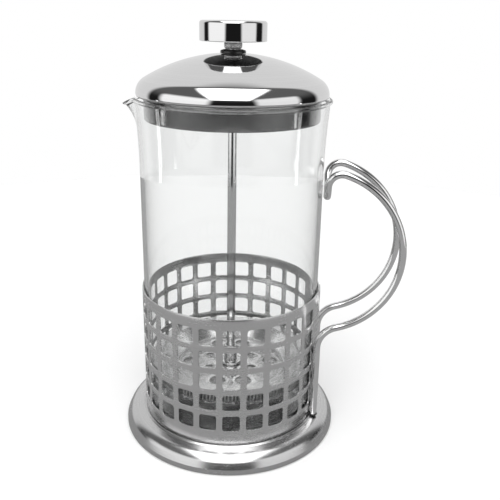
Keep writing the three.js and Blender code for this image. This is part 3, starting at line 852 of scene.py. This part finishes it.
# %% From a tree to a mesh
def grown(name, group, values, drawn=None, wall=0.0, bevel=0.0, sharp_deg=32):
    """Runs a Geometry Nodes tree with the given inputs, on a drawn mesh if it needs one, adds a
    wall and a bevel, and returns the result as a plain piece."""
    host = bpy.data.objects.new(name + "_host", drawn or bpy.data.meshes.new(name + "_host"))
    modifier = host.modifiers.new("nodes", "NODES")
    modifier.node_group = group
    sockets = {s.name: s.identifier for s in group.interface.items_tree if s.in_out == "INPUT"}
    for title, value in values.items():
        modifier[sockets[title]] = value
    if wall:
        sheet = host.modifiers.new("wall", "SOLIDIFY")
        sheet.thickness = wall
        sheet.offset = 0.0
        sheet.use_even_offset = True
    if bevel:
        edge = host.modifiers.new("edges", "BEVEL")
        edge.width = bevel
        edge.segments = 2
        edge.limit_method = "ANGLE"
        edge.angle_limit = math.radians(50)
    bpy.context.scene.collection.objects.link(host)
    bpy.context.view_layer.update()
    ready = host.evaluated_get(bpy.context.evaluated_depsgraph_get())
    mesh = bpy.data.meshes.new_from_object(ready)
    mesh.name = name
    host.modifiers.clear()
    bpy.data.objects.remove(host)
    return shown(name, mesh, sharp_deg)


# %% Sleeve
whole_deg = (COLUMNS + LEAD_CELLS + TAIL_CELLS) * COLUMN_DEG
lap_deg = whole_deg - 360
ramp_to = whole_deg - lap_deg - 1.5
sleeve_values = {
    "Radius": band_r,
    "Bottom": sleeve_low,
    "Cell Width": cell_width,
    "Cell Height": row_pitch,
    "Ramp From": math.radians(ramp_to - LAP_RAMP_DEG),
    "Ramp To": math.radians(ramp_to),
}
sleeve = grown(
    "perforated_sleeve", sleeve_tree, sleeve_values, wall=SLEEVE_SHEET, bevel=0.07 * MM
)
placed(sleeve, "stand", "satin_steel", sleeve_steel, "sleeve")

# %% [markdown]
# ## Handle
# The handle is one length of steel wire. It is bent double, so that two runs lie side by side,
# and its closed end hooks down beside the glass. The side view is a chain of tangent arcs, and the
# hairpin is folded into it: near the end the two runs swing together on a half circle. Sweeping a
# circle along that path keeps the wire round through every bend. Spot welds join the legs to the
# sleeve, and a bead closes each leg's end on the foot.

# %% Handle path
WIRE_R = 1.75 * MM
WIRE_SPACING = 25.4 * MM
BOW_R = 39.3 * MM
BOW_HEIGHT = 97.0 * MM
ARCH_R = 6.2 * MM
HEEL_R = 12.0 * MM
HAIRPIN_DROP = 7.1 * MM
HANDLE_GAP = 0.45 * MM
LEG_GAP = 0.2 * MM
WIRE_STEP = 1.2 * MM
WIRE_SIDES = 24
glass_wall_r = 43.0 * MM  # the beaker's wall, which the hairpin hangs beside
wire_low, wire_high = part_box("handle_wire")


def handle_side_view():
    """Points of one run seen from the side, from the hairpin down to the foot."""
    bow_r = wire_high.x - WIRE_R - BOW_R
    drop_r = glass_wall_r + HANDLE_GAP + WIRE_R
    leg_reach = sleeve_r + LEG_GAP + WIRE_R
    leg_r = math.sqrt(leg_reach**2 - (WIRE_SPACING / 2) ** 2)
    arch_out = drop_r + ARCH_R - bow_r
    arch_up = math.sqrt((BOW_R - ARCH_R) ** 2 - arch_out**2)
    heel_out = leg_r + HEEL_R - bow_r
    heel_down = math.sqrt((BOW_R + HEEL_R) ** 2 - heel_out**2)
    arch_deg = math.degrees(math.atan2(arch_up, arch_out))
    heel_deg = math.degrees(math.atan2(heel_down, heel_out))
    line = [(drop_r, BOW_HEIGHT + arch_up - HAIRPIN_DROP)]
    line += arc(drop_r + ARCH_R, BOW_HEIGHT + arch_up, ARCH_R, 180, arch_deg, 48)
    line += arc(bow_r, BOW_HEIGHT, BOW_R, arch_deg, -heel_deg, 160)[1:]
    line += arc(leg_r + HEEL_R, BOW_HEIGHT - heel_down, HEEL_R, 180 - heel_deg, 180, 48)[1:]
    line.append((leg_r, wire_low.z))
    return [Vector(point) for point in line]


def along_line(line):
    """A function that gives the point at a distance along a line."""
    marks = [0.0]
    for a, b in zip(line, line[1:]):
        marks.append(marks[-1] + (b - a).length)

    def at(distance):
        distance = min(max(distance, 0.0), marks[-1])
        i = max(k for k, mark in enumerate(marks[:-1]) if mark <= distance)
        share = (distance - marks[i]) / (marks[i + 1] - marks[i])
        return line[i].lerp(line[i + 1], share)

    return at, marks[-1]


def handle_path():
    """The whole wire: up one run, round the hairpin and down the other."""
    at, length = along_line(handle_side_view())
    turn_r = WIRE_SPACING / 2
    turn_length = turn_r * math.pi / 2
    half = turn_length + length - turn_r
    steps = round(half / WIRE_STEP)
    path = []
    for i in range(-steps, steps + 1):
        distance = abs(i) / steps * half
        angle = min(distance, turn_length) / turn_r
        straight = max(distance - turn_length, 0.0)
        side = at(turn_r * (1 - math.cos(angle)) + straight)
        across = math.copysign(turn_r * math.sin(angle), i)
        path.append(Vector((side.x, across, side.y)))
    return path


wire_path = handle_path()
wire_length = sum((b - a).length for a, b in zip(wire_path, wire_path[1:]))
print("handle wire length in mm", round(wire_length / MM))

# %% Handle tree
wire_tree, tree, given, result = make_group(
    "bent_wire",
    "GeometryNodeTree",
    [
        ("Geometry", GEOMETRY, None),
        ("Wire Radius", FLOAT, WIRE_R),
        ("Sides", COUNT, WIRE_SIDES),
    ],
    [("Geometry", GEOMETRY)],
)
centre = tree.add("GeometryNodeMeshToCurve", {"Mesh": given["Geometry"]})
section = tree.circle(given["Wire Radius"], given["Sides"])
tree.end(result, tree.tube(centre.outputs[0], section, caps=True), drawn_steel)


def path_mesh(name, path):
    """A line of edges through a list of points."""
    mesh = bpy.data.meshes.new(name)
    mesh.from_pydata(path, [(i, i + 1) for i in range(len(path) - 1)], [])
    return mesh


WIRE_END_BEVEL = 0.35 * MM
handle = grown(
    "handle",
    wire_tree,
    {"Wire Radius": WIRE_R},
    drawn=path_mesh("handle_path", wire_path),
    bevel=WIRE_END_BEVEL,
    sharp_deg=40,
)
placed(handle, "stand", "wire_steel", drawn_steel, "handle_wire")

# %% Weld beads
BEAD_HEIGHTS = (0.093, 0.341, 0.558)  # shares of the sleeve's height
BEAD_R = 1.0 * MM
BEAD_SHAPE = (1.2, 1.2, 1.9)
FOOT_BEAD_SHAPE = (1, 1, 0.4)


def bead_mesh(place, radius, squash):
    maker = bmesh.new()
    bmesh.ops.create_uvsphere(maker, u_segments=16, v_segments=10, radius=radius)
    bmesh.ops.scale(maker, vec=squash, verts=maker.verts)
    bmesh.ops.translate(maker, vec=place, verts=maker.verts)
    return maker


def joined(name, makers):
    """One mesh of several bmesh parts."""
    mesh = bpy.data.meshes.new(name)
    whole = bmesh.new()
    for maker in makers:
        part = bpy.data.meshes.new("part")
        maker.to_mesh(part)
        maker.free()
        whole.from_mesh(part)
        bpy.data.meshes.remove(part)
    whole.to_mesh(mesh)
    whole.free()
    return mesh


leg = wire_path[-1]
beads = []
for side in (-1, 1):
    towards = Vector((leg.x, side * WIRE_SPACING / 2, 0)).normalized()
    for share in BEAD_HEIGHTS:
        spot = towards * (sleeve_r + BEAD_R / 4)
        spot.z = sleeve_low + share * (sleeve_top - sleeve_low)
        beads.append(bead_mesh(spot, BEAD_R, BEAD_SHAPE))
    foot_spot = Vector((leg.x, side * WIRE_SPACING / 2, leg.z + LEG_GAP))
    beads.append(bead_mesh(foot_spot, WIRE_R * 1.2, FOOT_BEAD_SHAPE))
welds = shown("leg_welds", joined("leg_welds", beads))
placed(welds, "stand", "wire_steel", dark_steel)

# %% [markdown]
# ## Beaker
# The beaker is blown glass. Its wall opens slightly below a fire-polished bead, and one side of the
# rim is drawn out into a pouring lip. The round body is turned, and a formula pulls the lip: the
# push outwards dies away as a squared cosine to both sides and fades down the wall, so the drawn
# part flows into the round part without a crease.

# %% Beaker
GLASS_WALL = 1.8 * MM
GLASS_FLOOR = 2.2 * MM
CORNER_R = 8.0 * MM
FLARE_HEIGHT = 28.0 * MM
FLARE = 1.45 * MM
BEAD = 0.95 * MM
SPOUT_REACH = 6.1 * MM
SPOUT_DROP = 4.1 * MM
SPOUT_HEIGHT = 14.0 * MM
SPOUT_HALF_ANGLE = math.radians(21)
beaker_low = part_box("glass_beaker")[0].z
rim_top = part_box("glass_beaker")[1].z
glass_inner_r = glass_wall_r - GLASS_WALL


def flare_line(radius, steps=28):
    """The opening wall, from below the rim up to the bead."""
    bead_z = rim_top - BEAD
    line = []
    for i in range(steps):
        t = i / steps
        line.append((radius + FLARE * t**1.6, bead_z - FLARE_HEIGHT * (1 - t)))
    return line


def pull_spout(point):
    """Draws a point of the rim out to the pouring lip."""
    start = rim_top - SPOUT_HEIGHT
    off = abs(math.atan2(point.y, -point.x))
    if off >= SPOUT_HALF_ANGLE or point.z <= start:
        return point
    across = math.cos(off / SPOUT_HALF_ANGLE * math.pi / 2) ** 2
    up = (point.z - start) / SPOUT_HEIGHT
    radius = math.hypot(point.x, point.y)
    scale = (radius + SPOUT_REACH * across * up) / radius
    return Vector((point.x * scale, point.y * scale, point.z - SPOUT_DROP * across * up * up))


inner_corner = CORNER_R - GLASS_WALL
inner_floor = beaker_low + GLASS_FLOOR
beaker_outline = [(0.0, beaker_low)]
beaker_outline += arc(glass_wall_r - CORNER_R, beaker_low + CORNER_R, CORNER_R, -90, 0, 12)
beaker_outline += flare_line(glass_wall_r)
beaker_outline += arc(glass_wall_r + FLARE, rim_top - BEAD, BEAD, -40, 220, 20)
beaker_outline += list(reversed(flare_line(glass_inner_r)))
beaker_outline += arc(
    glass_inner_r - inner_corner, inner_floor + inner_corner, inner_corner, 0, -90, 12
)
beaker_outline.append((0.0, inner_floor))
beaker = turned("beaker", beaker_outline, sides=216, bend=pull_spout)
placed(beaker, "beaker", "clear_glass", clear_glass, "glass_beaker")

# %% [markdown]
# ## Lid
# The lid is a spun dome with a tight shoulder and an edge curled under, a liner cup that centres it
# in the glass, and a bush that guides the rod. The dome's mirror shows every flaw of a curve,
# so its outline is made of long tangent arcs with many steps.

# %% Dome
CROWN_R = 78.0 * MM
SHOULDER_R = 7.6 * MM
CURL_R = 1.3 * MM
CURL_DEG = 75
SEAT_R = 8.0 * MM
LID_SHEET = 0.7 * MM
BARREL_GAP_R = 3.8 * MM
dome_r, dome_low, dome_top = ring_of("lid_dome")
widest = dome_low + CURL_R * math.sin(math.radians(CURL_DEG))
shoulder_centre = dome_r - SHOULDER_R
crown_end = math.asin(shoulder_centre / (CROWN_R - SHOULDER_R))
crown_centre = widest - (CROWN_R - SHOULDER_R) * math.cos(crown_end)
seat_deg = math.degrees(math.acos(SEAT_R / CROWN_R))
crown_deg = 90 - math.degrees(crown_end)
dome_line = [(BARREL_GAP_R, dome_top)]
dome_line += arc(0, crown_centre, CROWN_R, seat_deg, crown_deg, 40)
dome_line += arc(shoulder_centre, widest, SHOULDER_R, crown_deg, 0, 24)[1:]
dome_line += arc(dome_r - CURL_R, widest, CURL_R, 0, -CURL_DEG, 10)[1:]
dome = turned("dome", walled(dome_line, LID_SHEET), sides=256)
placed(dome, "lid", "polished_steel", mirror_steel, "lid_dome")

# %% Liner
LINER_SHEET = 0.6 * MM
SKIRT_GAP = 0.9 * MM
LINER_BORE_R = 2.7 * MM
liner_flange_r, liner_low, liner_top = ring_of("lid_liner")
skirt_r = glass_inner_r - SKIRT_GAP
liner_corners = [
    (liner_flange_r, liner_top - LINER_SHEET),
    (skirt_r, liner_top - LINER_SHEET, 0.35 * MM),
    (skirt_r, liner_low, 0.9 * MM),
    (LINER_BORE_R, liner_low),
]
lathe(
    "liner_cup", liner_corners, "lid", "brushed_steel", brushed_steel, "lid_liner",
    wall=LINER_SHEET,
)

# %% Bush and washer
BORE_R = 2.25 * MM
BARREL_R = 3.6 * MM
TAIL_R = 4.7 * MM  # the bush's lower end, spread over the washer
TAIL_HEIGHT = 0.6 * MM
FLANGE_HEIGHT = 1.7 * MM
FLANGE_SLOPE = 1.6 * MM
WASHER_BORE_R = 3.8 * MM
bush_r, bush_low, bush_top = ring_of("lid_bush")
washer_r, washer_low, washer_top = ring_of("bush_washer")
flange_z = bush_top - FLANGE_HEIGHT
bush_corners = [
    (BORE_R, bush_low, 0.15 * MM),
    (TAIL_R, bush_low, 0.2 * MM),
    (TAIL_R, bush_low + TAIL_HEIGHT, 0.15 * MM),
    (BARREL_R, bush_low + TAIL_HEIGHT),
    (BARREL_R, flange_z),
    (bush_r, flange_z, 0.15 * MM),
    (bush_r, bush_top - 0.5 * MM, 0.5 * MM),
    (bush_r - FLANGE_SLOPE, bush_top, 0.4 * MM),
    (BORE_R, bush_top, 0.2 * MM),
]
lathe("rod_bush", bush_corners, "lid", "turned_steel", dark_steel, "lid_bush", sides=SMALL_SIDES)
washer_corners = [
    (WASHER_BORE_R, washer_low, 0.1 * MM),
    (washer_r, washer_low, 0.15 * MM),
    (washer_r, washer_top, 0.15 * MM),
    (WASHER_BORE_R, washer_top, 0.1 * MM),
]
lathe(
    "washer", washer_corners, "lid", "brushed_steel", brushed_steel, "bush_washer",
    sides=SMALL_SIDES,
)

# %% [markdown]
# ## Knob
# The knob is a drawn steel cap pressed over a black plastic core, with a threaded insert for the
# rod, and a short bulging neck below. Its side is a straight drum, which is why it mirrors the room
# in upright bands, and the edge of its top is barely rounded.

# %% Knob
KNOB_SHEET = 0.6 * MM
CORE_GAP = 0.2 * MM
INSERT_GAP = 0.1 * MM
INSERT_ROOF = 0.8 * MM
NECK_WAIST_R = 3.3 * MM
NECK_STEPS = 12
knob_r, knob_low, knob_top = ring_of("knob_cap")
cap_corners = [
    (0, knob_top),
    (knob_r, knob_top, 1.25 * MM),
    (knob_r, knob_low + 0.1 * MM, 0.3 * MM),
    (knob_r - 0.35 * MM, knob_low + 0.05 * MM),
]
lathe(
    "knob_shell", cap_corners, "knob", "polished_steel", mirror_steel, "knob_cap",
    wall=KNOB_SHEET, steps=8, sides=192,
)
insert_r, insert_low, insert_top = ring_of("knob_insert")
core_r, core_low, core_top = ring_of("knob_core")
core_corners = [
    (insert_r + CORE_GAP, core_low, 0.15 * MM),
    (core_r, core_low, 0.25 * MM),
    (core_r, core_top, 1.2 * MM),
    (0, core_top),
    (0, insert_top + INSERT_GAP),
    (insert_r + CORE_GAP, insert_top + INSERT_GAP),
]
lathe("knob_filler", core_corners, "knob", "core_plastic", core_plastic, "knob_core")
insert_corners = [
    (BORE_R, insert_low, 0.2 * MM),
    (insert_r, insert_low, 0.2 * MM),
    (insert_r, insert_top, 0.2 * MM),
    (0, insert_top),
    (0, insert_top - INSERT_ROOF),
    (BORE_R, insert_top - INSERT_ROOF),
]
lathe(
    "threaded_insert", insert_corners, "knob", "turned_steel", turned_steel, "knob_insert",
    sides=SMALL_SIDES,
)
neck_r, neck_low, neck_top = ring_of("knob_neck")
neck_middle = (neck_low + neck_top) / 2
neck_outline = [(BORE_R, neck_low)]
for i in range(NECK_STEPS + 1):
    angle = math.pi * (i / NECK_STEPS - 0.5)
    bulge = NECK_WAIST_R + (neck_r - NECK_WAIST_R) * math.cos(angle)
    neck_outline.append((bulge, neck_middle + (neck_top - neck_low) / 2 * math.sin(angle)))
neck_outline.append((BORE_R, neck_top))
neck = turned("neck_collar", neck_outline, SMALL_SIDES)
# The neck's steel carries painted light: its raised grey stands in for light that the knob's shade
# keeps off.
placed(neck, "knob", "polished_steel", neck_steel_painted_light, "knob_neck")

# %% [markdown]
# ## Rod and hub
# The rod is a straight ground bar. At its lower end sits a turned hub with a flange that presses
# the sieve pack together from above, and a nut holds the pack from below.

# %% Rod
rod_r, rod_low, rod_top = ring_of("plunger_rod")
rod_corners = [
    (0, rod_low),
    (rod_r, rod_low, 0.4 * MM),
    (rod_r, rod_top, 0.4 * MM),
    (0, rod_top),
]
lathe("rod", rod_corners, "rod", "polished_steel", drawn_steel, "plunger_rod", sides=SMALL_SIDES)

# %% Hub
HUB_R = 3.3 * MM
FLANGE_SHEET = 1.0 * MM
PLATE_SHEET = 0.6 * MM
PLATE_GAP = 0.2 * MM
NECKING = 0.25 * MM  # depth of the turned groove under the hub's top
NECKING_TOP = 1.6 * MM
NECKING_SLOPE = 0.3 * MM
NECKING_FLAT = 0.4 * MM
hub_flange_r, hub_low, hub_top = ring_of("rod_hub")
flange_low = ring_of("top_plate")[1] + PLATE_SHEET + PLATE_GAP
necking_high = hub_top - NECKING_TOP
necking_low = necking_high - NECKING_SLOPE - NECKING_FLAT
hub_corners = [
    (BORE_R, hub_low, 0.15 * MM),
    (HUB_R, hub_low, 0.2 * MM),
    (HUB_R, flange_low),
    (hub_flange_r, flange_low, 0.2 * MM),
    (hub_flange_r, flange_low + FLANGE_SHEET, 0.4 * MM),
    (HUB_R, flange_low + FLANGE_SHEET, 0.3 * MM),
    (HUB_R, necking_low - NECKING_SLOPE, 0.2 * MM),
    (HUB_R - NECKING, necking_low, 0.2 * MM),
    (HUB_R - NECKING, necking_high - NECKING_SLOPE, 0.2 * MM),
    (HUB_R, necking_high, 0.2 * MM),
    (HUB_R, hub_top, 0.5 * MM),
    (BORE_R, hub_top, 0.2 * MM),
]
lathe("plunger_hub", hub_corners, "sieve", "turned_steel", turned_steel, "rod_hub", sides=SMALL_SIDES)

# %% [markdown]
# ## Sieve plates
# The top plate is a shallow dish that spreads the push over the sieve and lets the coffee through
# two rings of holes. Its floor is punched sheet: Geometry Nodes draw an edge circle, repeat a hole
# on each ring, fill what is left and leave the thickness to a Solidify modifier. Its sloping wall
# and its lip are turned. The cross plate under the mesh is a ring with four arms, filled from the
# outlines of its edge and of the windows that the arms and the rim leave between them.

# %% Punched plate tree
plate_tree, tree, given, result = make_group(
    "punched_plate",
    "GeometryNodeTree",
    [
        ("Geometry", GEOMETRY, None),
        ("Edge Radius", FLOAT, 0.028),
        ("Height", FLOAT, 0.03),
        ("Bore", FLOAT, 0.0035),
        ("Turn", FLOAT, math.radians(7)),
        ("Inner Count", COUNT, 6),
        ("Inner Hole", FLOAT, 0.0023),
        ("Inner Circle", FLOAT, 0.0124),
        ("Outer Count", COUNT, 10),
        ("Outer Hole", FLOAT, 0.004),
        ("Outer Circle", FLOAT, 0.0205),
    ],
    [("Geometry", GEOMETRY)],
)


def hole_ring(tree, count, hole, ring, turn):
    """Circles of holes round the axis, the first one at an angle from the X axis."""
    points = tree.add("GeometryNodeMeshCircle", {"Vertices": count, "Radius": ring})
    turned_points = tree.moved(points.outputs[0], (0, 0, 0), Rotation=tree.combine(0.0, 0.0, turn))
    return tree.spread(turned_points, tree.circle(hole, 32))


def filled_sheet(tree, outlines, height):
    """Fills closed outlines and raises the sheet to its height."""
    filled = tree.add("GeometryNodeFillCurve", {"Curve": outlines})
    return tree.moved(filled.outputs[0], tree.combine(0.0, 0.0, height))


half_step = tree.plus(given["Turn"], tree.over(math.pi, given["Inner Count"]))
edges = tree.joined(
    tree.circle(given["Edge Radius"], 144),
    tree.circle(given["Bore"], 48),
    hole_ring(
        tree, given["Inner Count"], given["Inner Hole"], given["Inner Circle"], half_step
    ),
    hole_ring(
        tree, given["Outer Count"], given["Outer Hole"], given["Outer Circle"], given["Turn"]
    ),
)
tree.end(result, filled_sheet(tree, edges, given["Height"]), plate_steel)

# %% Top plate
DISH_LIP_WIDTH = 5.8 * MM
DISH_WALL_RUN = 6.5 * MM
DISH_FOLD_R = 1.2 * MM
DISH_LAP = 1.0 * MM  # how far the turned wall reaches over the punched floor
OUTER_HOLES_INSET = 7.3 * MM
PUNCH_BEVEL = 0.1 * MM
top_r, top_low, top_high = ring_of("top_plate")
dish_wall_r = top_r - DISH_LIP_WIDTH
dish_floor_r = dish_wall_r - DISH_WALL_RUN
top_values = {
    "Edge Radius": dish_floor_r,
    "Height": top_low + PLATE_SHEET / 2,
    "Outer Circle": dish_floor_r - OUTER_HOLES_INSET,
}
top_plate = grown(
    "spreader_plate", plate_tree, top_values, wall=PLATE_SHEET, bevel=PUNCH_BEVEL
)
placed(top_plate, "sieve", "satin_steel", plate_steel, "top_plate")
dish_corners = [
    (top_r, top_high),
    (dish_wall_r, top_high, DISH_FOLD_R),
    (dish_floor_r, top_low + PLATE_SHEET, DISH_FOLD_R),
    (dish_floor_r - DISH_LAP, top_low + PLATE_SHEET),
]
lathe("spreader_dish", dish_corners, "sieve", "satin_steel", plate_steel, wall=-PLATE_SHEET)

# %% Cross plate
RING_WIDTH = 5.0 * MM
ARM_WIDTH = 9.0 * MM
BOSS_R = 9.0 * MM
CROSS_BORE_R = 3.5 * MM
WINDOW_CORNER = 0.9 * MM
cross_r, cross_low, cross_high = ring_of("cross_plate")


def window(quarter):
    """One opening between two arms, as a closed line of points with rounded corners."""
    outer = cross_r - RING_WIDTH
    outer_off = math.degrees(math.asin(ARM_WIDTH / 2 / outer))
    inner_off = math.degrees(math.asin(ARM_WIDTH / 2 / BOSS_R))
    line = arc(0, 0, outer, 90 - outer_off, outer_off, 20)
    line += arc(0, 0, BOSS_R, inner_off, 90 - inner_off, 10)
    corners = (0, 20, 21, 31)
    soft = []
    for i, point in enumerate(line):
        size = WINDOW_CORNER if i in corners else 0.0
        soft += fillet(line[i - 1], point, line[(i + 1) % len(line)], size, 4)
    turn = Matrix.Rotation(quarter * math.pi / 2, 2)
    return [turn @ Vector(point) for point in soft]


def cross_line_mesh():
    """The edge, the bore and the windows of the cross plate as loops of edges."""
    edge = arc(0, 0, cross_r, 0, 360, SIDES)[:-1]
    loops = [edge, arc(0, 0, CROSS_BORE_R, 0, 360, 48)[:-1]]
    loops += [window(quarter) for quarter in range(4)]
    points, links = [], []
    for loop in loops:
        start = len(points)
        count = len(loop)
        points += [(x, y, 0) for x, y in loop]
        links += [(start + i, start + (i + 1) % count) for i in range(count)]
    mesh = bpy.data.meshes.new("cross_lines")
    mesh.from_pydata(points, links, [])
    return mesh


fill_tree, tree, given, result = make_group(
    "filled_outline",
    "GeometryNodeTree",
    [("Geometry", GEOMETRY, None), ("Height", FLOAT, 0.0)],
    [("Geometry", GEOMETRY)],
)
drawn = tree.add("GeometryNodeMeshToCurve", {"Mesh": given["Geometry"]})
tree.end(result, filled_sheet(tree, drawn.outputs[0], given["Height"]), satin_steel)

cross = grown(
    "cross_support",
    fill_tree,
    {"Height": (cross_low + cross_high) / 2},
    drawn=cross_line_mesh(),
    wall=PLATE_SHEET,
    bevel=PUNCH_BEVEL,
)
placed(cross, "sieve", "satin_steel", satin_steel, "cross_plate")

# %% [markdown]
# ## Coil and mesh
# A closely wound coil bent into a ring presses the mesh against the glass. One formula places its
# centre line: it circles the tube many times while it goes once round the press. The mesh is woven
# wire. Each wire is a line across the disc that rises and dips at every crossing, and the second
# set of wires is the first one turned by a right angle, with its waves the other way up.

# %% Coil tree
coil_tree, tree, given, result = make_group(
    "ring_coil",
    "GeometryNodeTree",
    [
        ("Geometry", GEOMETRY, None),
        ("Ring Radius", FLOAT, 0.038),
        ("Tube Radius", FLOAT, 0.0022),
        ("Height", FLOAT, 0.0355),
        ("Turns", COUNT, 150),
        ("Steps Per Turn", COUNT, 14),
        ("Wire Radius", FLOAT, 0.0004),
    ],
    [("Geometry", GEOMETRY)],
)
count = tree.times(given["Turns"], given["Steps Per Turn"])
line = tree.add("GeometryNodeMeshLine", {"Count": count})
step = tree.add("GeometryNodeInputIndex").outputs[0]
small = tree.over(tree.times(step, 2 * math.pi), given["Steps Per Turn"])
large = tree.over(small, given["Turns"])
reach = tree.times(given["Tube Radius"], tree.math("COSINE", small))
reach = tree.plus(reach, given["Ring Radius"])
rise = tree.times(given["Tube Radius"], tree.math("SINE", small))
helix = tree.combine(
    tree.times(reach, tree.math("COSINE", large)),
    tree.times(reach, tree.math("SINE", large)),
    tree.plus(rise, given["Height"]),
)
wound = tree.add("GeometryNodeSetPosition", {"Geometry": line.outputs[0], "Position": helix})
curve = tree.add("GeometryNodeMeshToCurve", {"Mesh": wound.outputs[0]})
curve = tree.add("GeometryNodeSetSplineCyclic", {"Geometry": curve.outputs[0], "Cyclic": True})
section = tree.circle(given["Wire Radius"], 6)
tree.end(result, tree.tube(curve.outputs[0], section), mesh_steel)

# %% Coil
COIL_WIRE_R = 0.42 * MM
coil_r, coil_low, coil_high = ring_of("coil_spring")
coil_tube = (coil_high - coil_low) / 2
coil_values = {
    "Ring Radius": coil_r - coil_tube,
    "Tube Radius": coil_tube - COIL_WIRE_R,
    "Height": (coil_high + coil_low) / 2,
    "Wire Radius": COIL_WIRE_R,
}
coil_piece = grown("edge_coil", coil_tree, coil_values, sharp_deg=80)
placed(coil_piece, "sieve", "mesh_steel", mesh_steel, "coil_spring")

# %% Woven mesh tree
weave_tree, tree, given, result = make_group(
    "woven_disc",
    "GeometryNodeTree",
    [
        ("Geometry", GEOMETRY, None),
        ("Disc Radius", FLOAT, 0.0405),
        ("Pitch", FLOAT, 0.0011),
        ("Wires", COUNT, 71),
        ("Wire Radius", FLOAT, 0.0001),
        ("Height", FLOAT, 0.0325),
        ("Rim Width", FLOAT, 0.0005),
    ],
    [("Geometry", GEOMETRY)],
)
half_count = tree.times(tree.minus(given["Wires"], 1), 0.5)
half_span = tree.times(half_count, given["Pitch"])
rows = tree.add(
    "GeometryNodeMeshLine",
    {
        "Count": given["Wires"],
        "Start Location": tree.combine(0.0, tree.times(half_span, -1.0), 0.0),
        "Offset": tree.combine(0.0, given["Pitch"], 0.0),
    },
)
squared = tree.math("POWER", given["Disc Radius"], 2.0)
chord = tree.minus(squared, tree.math("POWER", tree.position()[1], 2.0))
chord = tree.math("SQRT", tree.math("MAXIMUM", chord, 0.0000001))
unit = tree.add("GeometryNodeCurvePrimitiveLine", {"Start": (-1, 0, 0), "End": (1, 0, 0)})
laid = tree.spread(rows.outputs[0], unit.outputs[0], Scale=tree.combine(chord, 1.0, 1.0))
half_pitch = tree.times(given["Pitch"], 0.5)
fine = tree.add(
    "GeometryNodeResampleCurve", {"Curve": laid, "Length": half_pitch}, mode="LENGTH"
)
here = tree.position()
both = tree.plus(here[0], tree.plus(here[1], half_span))
phase = tree.over(tree.times(both, math.pi), given["Pitch"])
wave = tree.times(tree.math("COSINE", phase), given["Wire Radius"])
woven = tree.add(
    "GeometryNodeSetPosition",
    {"Geometry": fine.outputs[0], "Offset": tree.combine(0.0, 0.0, wave)},
)
crossing = tree.moved(
    woven.outputs[0], (0, 0, 0), Rotation=(0, 0, math.pi / 2), Scale=(1, 1, -1)
)
threads = tree.joined(woven.outputs[0], crossing)
cloth = tree.tube(threads, tree.circle(given["Wire Radius"], 4), caps=True)
rim_r = tree.minus(given["Disc Radius"], given["Rim Width"])
rim_shape = tree.add(
    "GeometryNodeCurvePrimitiveQuadrilateral",
    {"Width": given["Rim Width"], "Height": tree.times(given["Wire Radius"], 4.0)},
)
rim_band = tree.tube(tree.circle(rim_r, 144), rim_shape.outputs[0])
lifted = tree.moved(tree.joined(cloth, rim_band), tree.combine(0.0, 0.0, given["Height"]))
tree.end(result, lifted, mesh_steel)

# %% Woven mesh
RIM_INSET = 0.3 * MM
mesh_r, mesh_low, mesh_high = ring_of("mesh_filter")
weave_values = {
    "Disc Radius": mesh_r - RIM_INSET,
    "Height": (mesh_low + mesh_high) / 2,
}
weave = grown("woven_sieve", weave_tree, weave_values, sharp_deg=80)
placed(weave, "sieve", "mesh_steel", mesh_steel, "mesh_filter")

# %% [markdown]
# ## Nut
# A hexagon nut is a prism whose corners were turned off on a lathe. Each ring of its side is a
# hexagon cut back to a circle, and the circles shrink towards both ends, which gives the curved
# edges that every real nut has.

# %% Nut
NUT_FLATS = 11.0 * MM
NUT_BORE = 3.5 * MM
CHAMFER = 0.5 * MM
CHAMFER_SLOPE = 1.6
CHAMFER_STEPS = 4
_, nut_low, nut_high = ring_of("filter_nut")


def hex_radius(angle):
    """Distance from the axis to the side of the hexagon in a direction."""
    sixth = math.pi / 3
    off = (angle % sixth) - sixth / 2
    return NUT_FLATS / 2 / math.cos(off)


def nut_ring(height, limit):
    """A ring of the nut's side, cut back to a round of a limiting radius."""
    ring = []
    for j in range(SIDES):
        angle = 2 * math.pi * j / SIDES
        radius = min(hex_radius(angle), limit)
        ring.append(Vector((radius * math.cos(angle), radius * math.sin(angle), height)))
    return ring


def nut_rings():
    corner = NUT_FLATS / 2 / math.cos(math.pi / 6)
    shares = [i / CHAMFER_STEPS for i in range(CHAMFER_STEPS + 1)]
    cuts = [(CHAMFER * t, corner - CHAMFER * CHAMFER_SLOPE * (1 - t)) for t in shares]
    rings = [nut_ring(nut_low, NUT_BORE)]
    rings += [nut_ring(nut_low + off, limit) for off, limit in cuts]
    rings += [nut_ring(nut_high - off, limit) for off, limit in reversed(cuts)]
    rings.append(nut_ring(nut_high, NUT_BORE))
    return rings


nut = shown("hex_nut", swept("hex_nut", nut_rings()), 25)
placed(nut, "sieve", "turned_steel", turned_steel, "filter_nut")
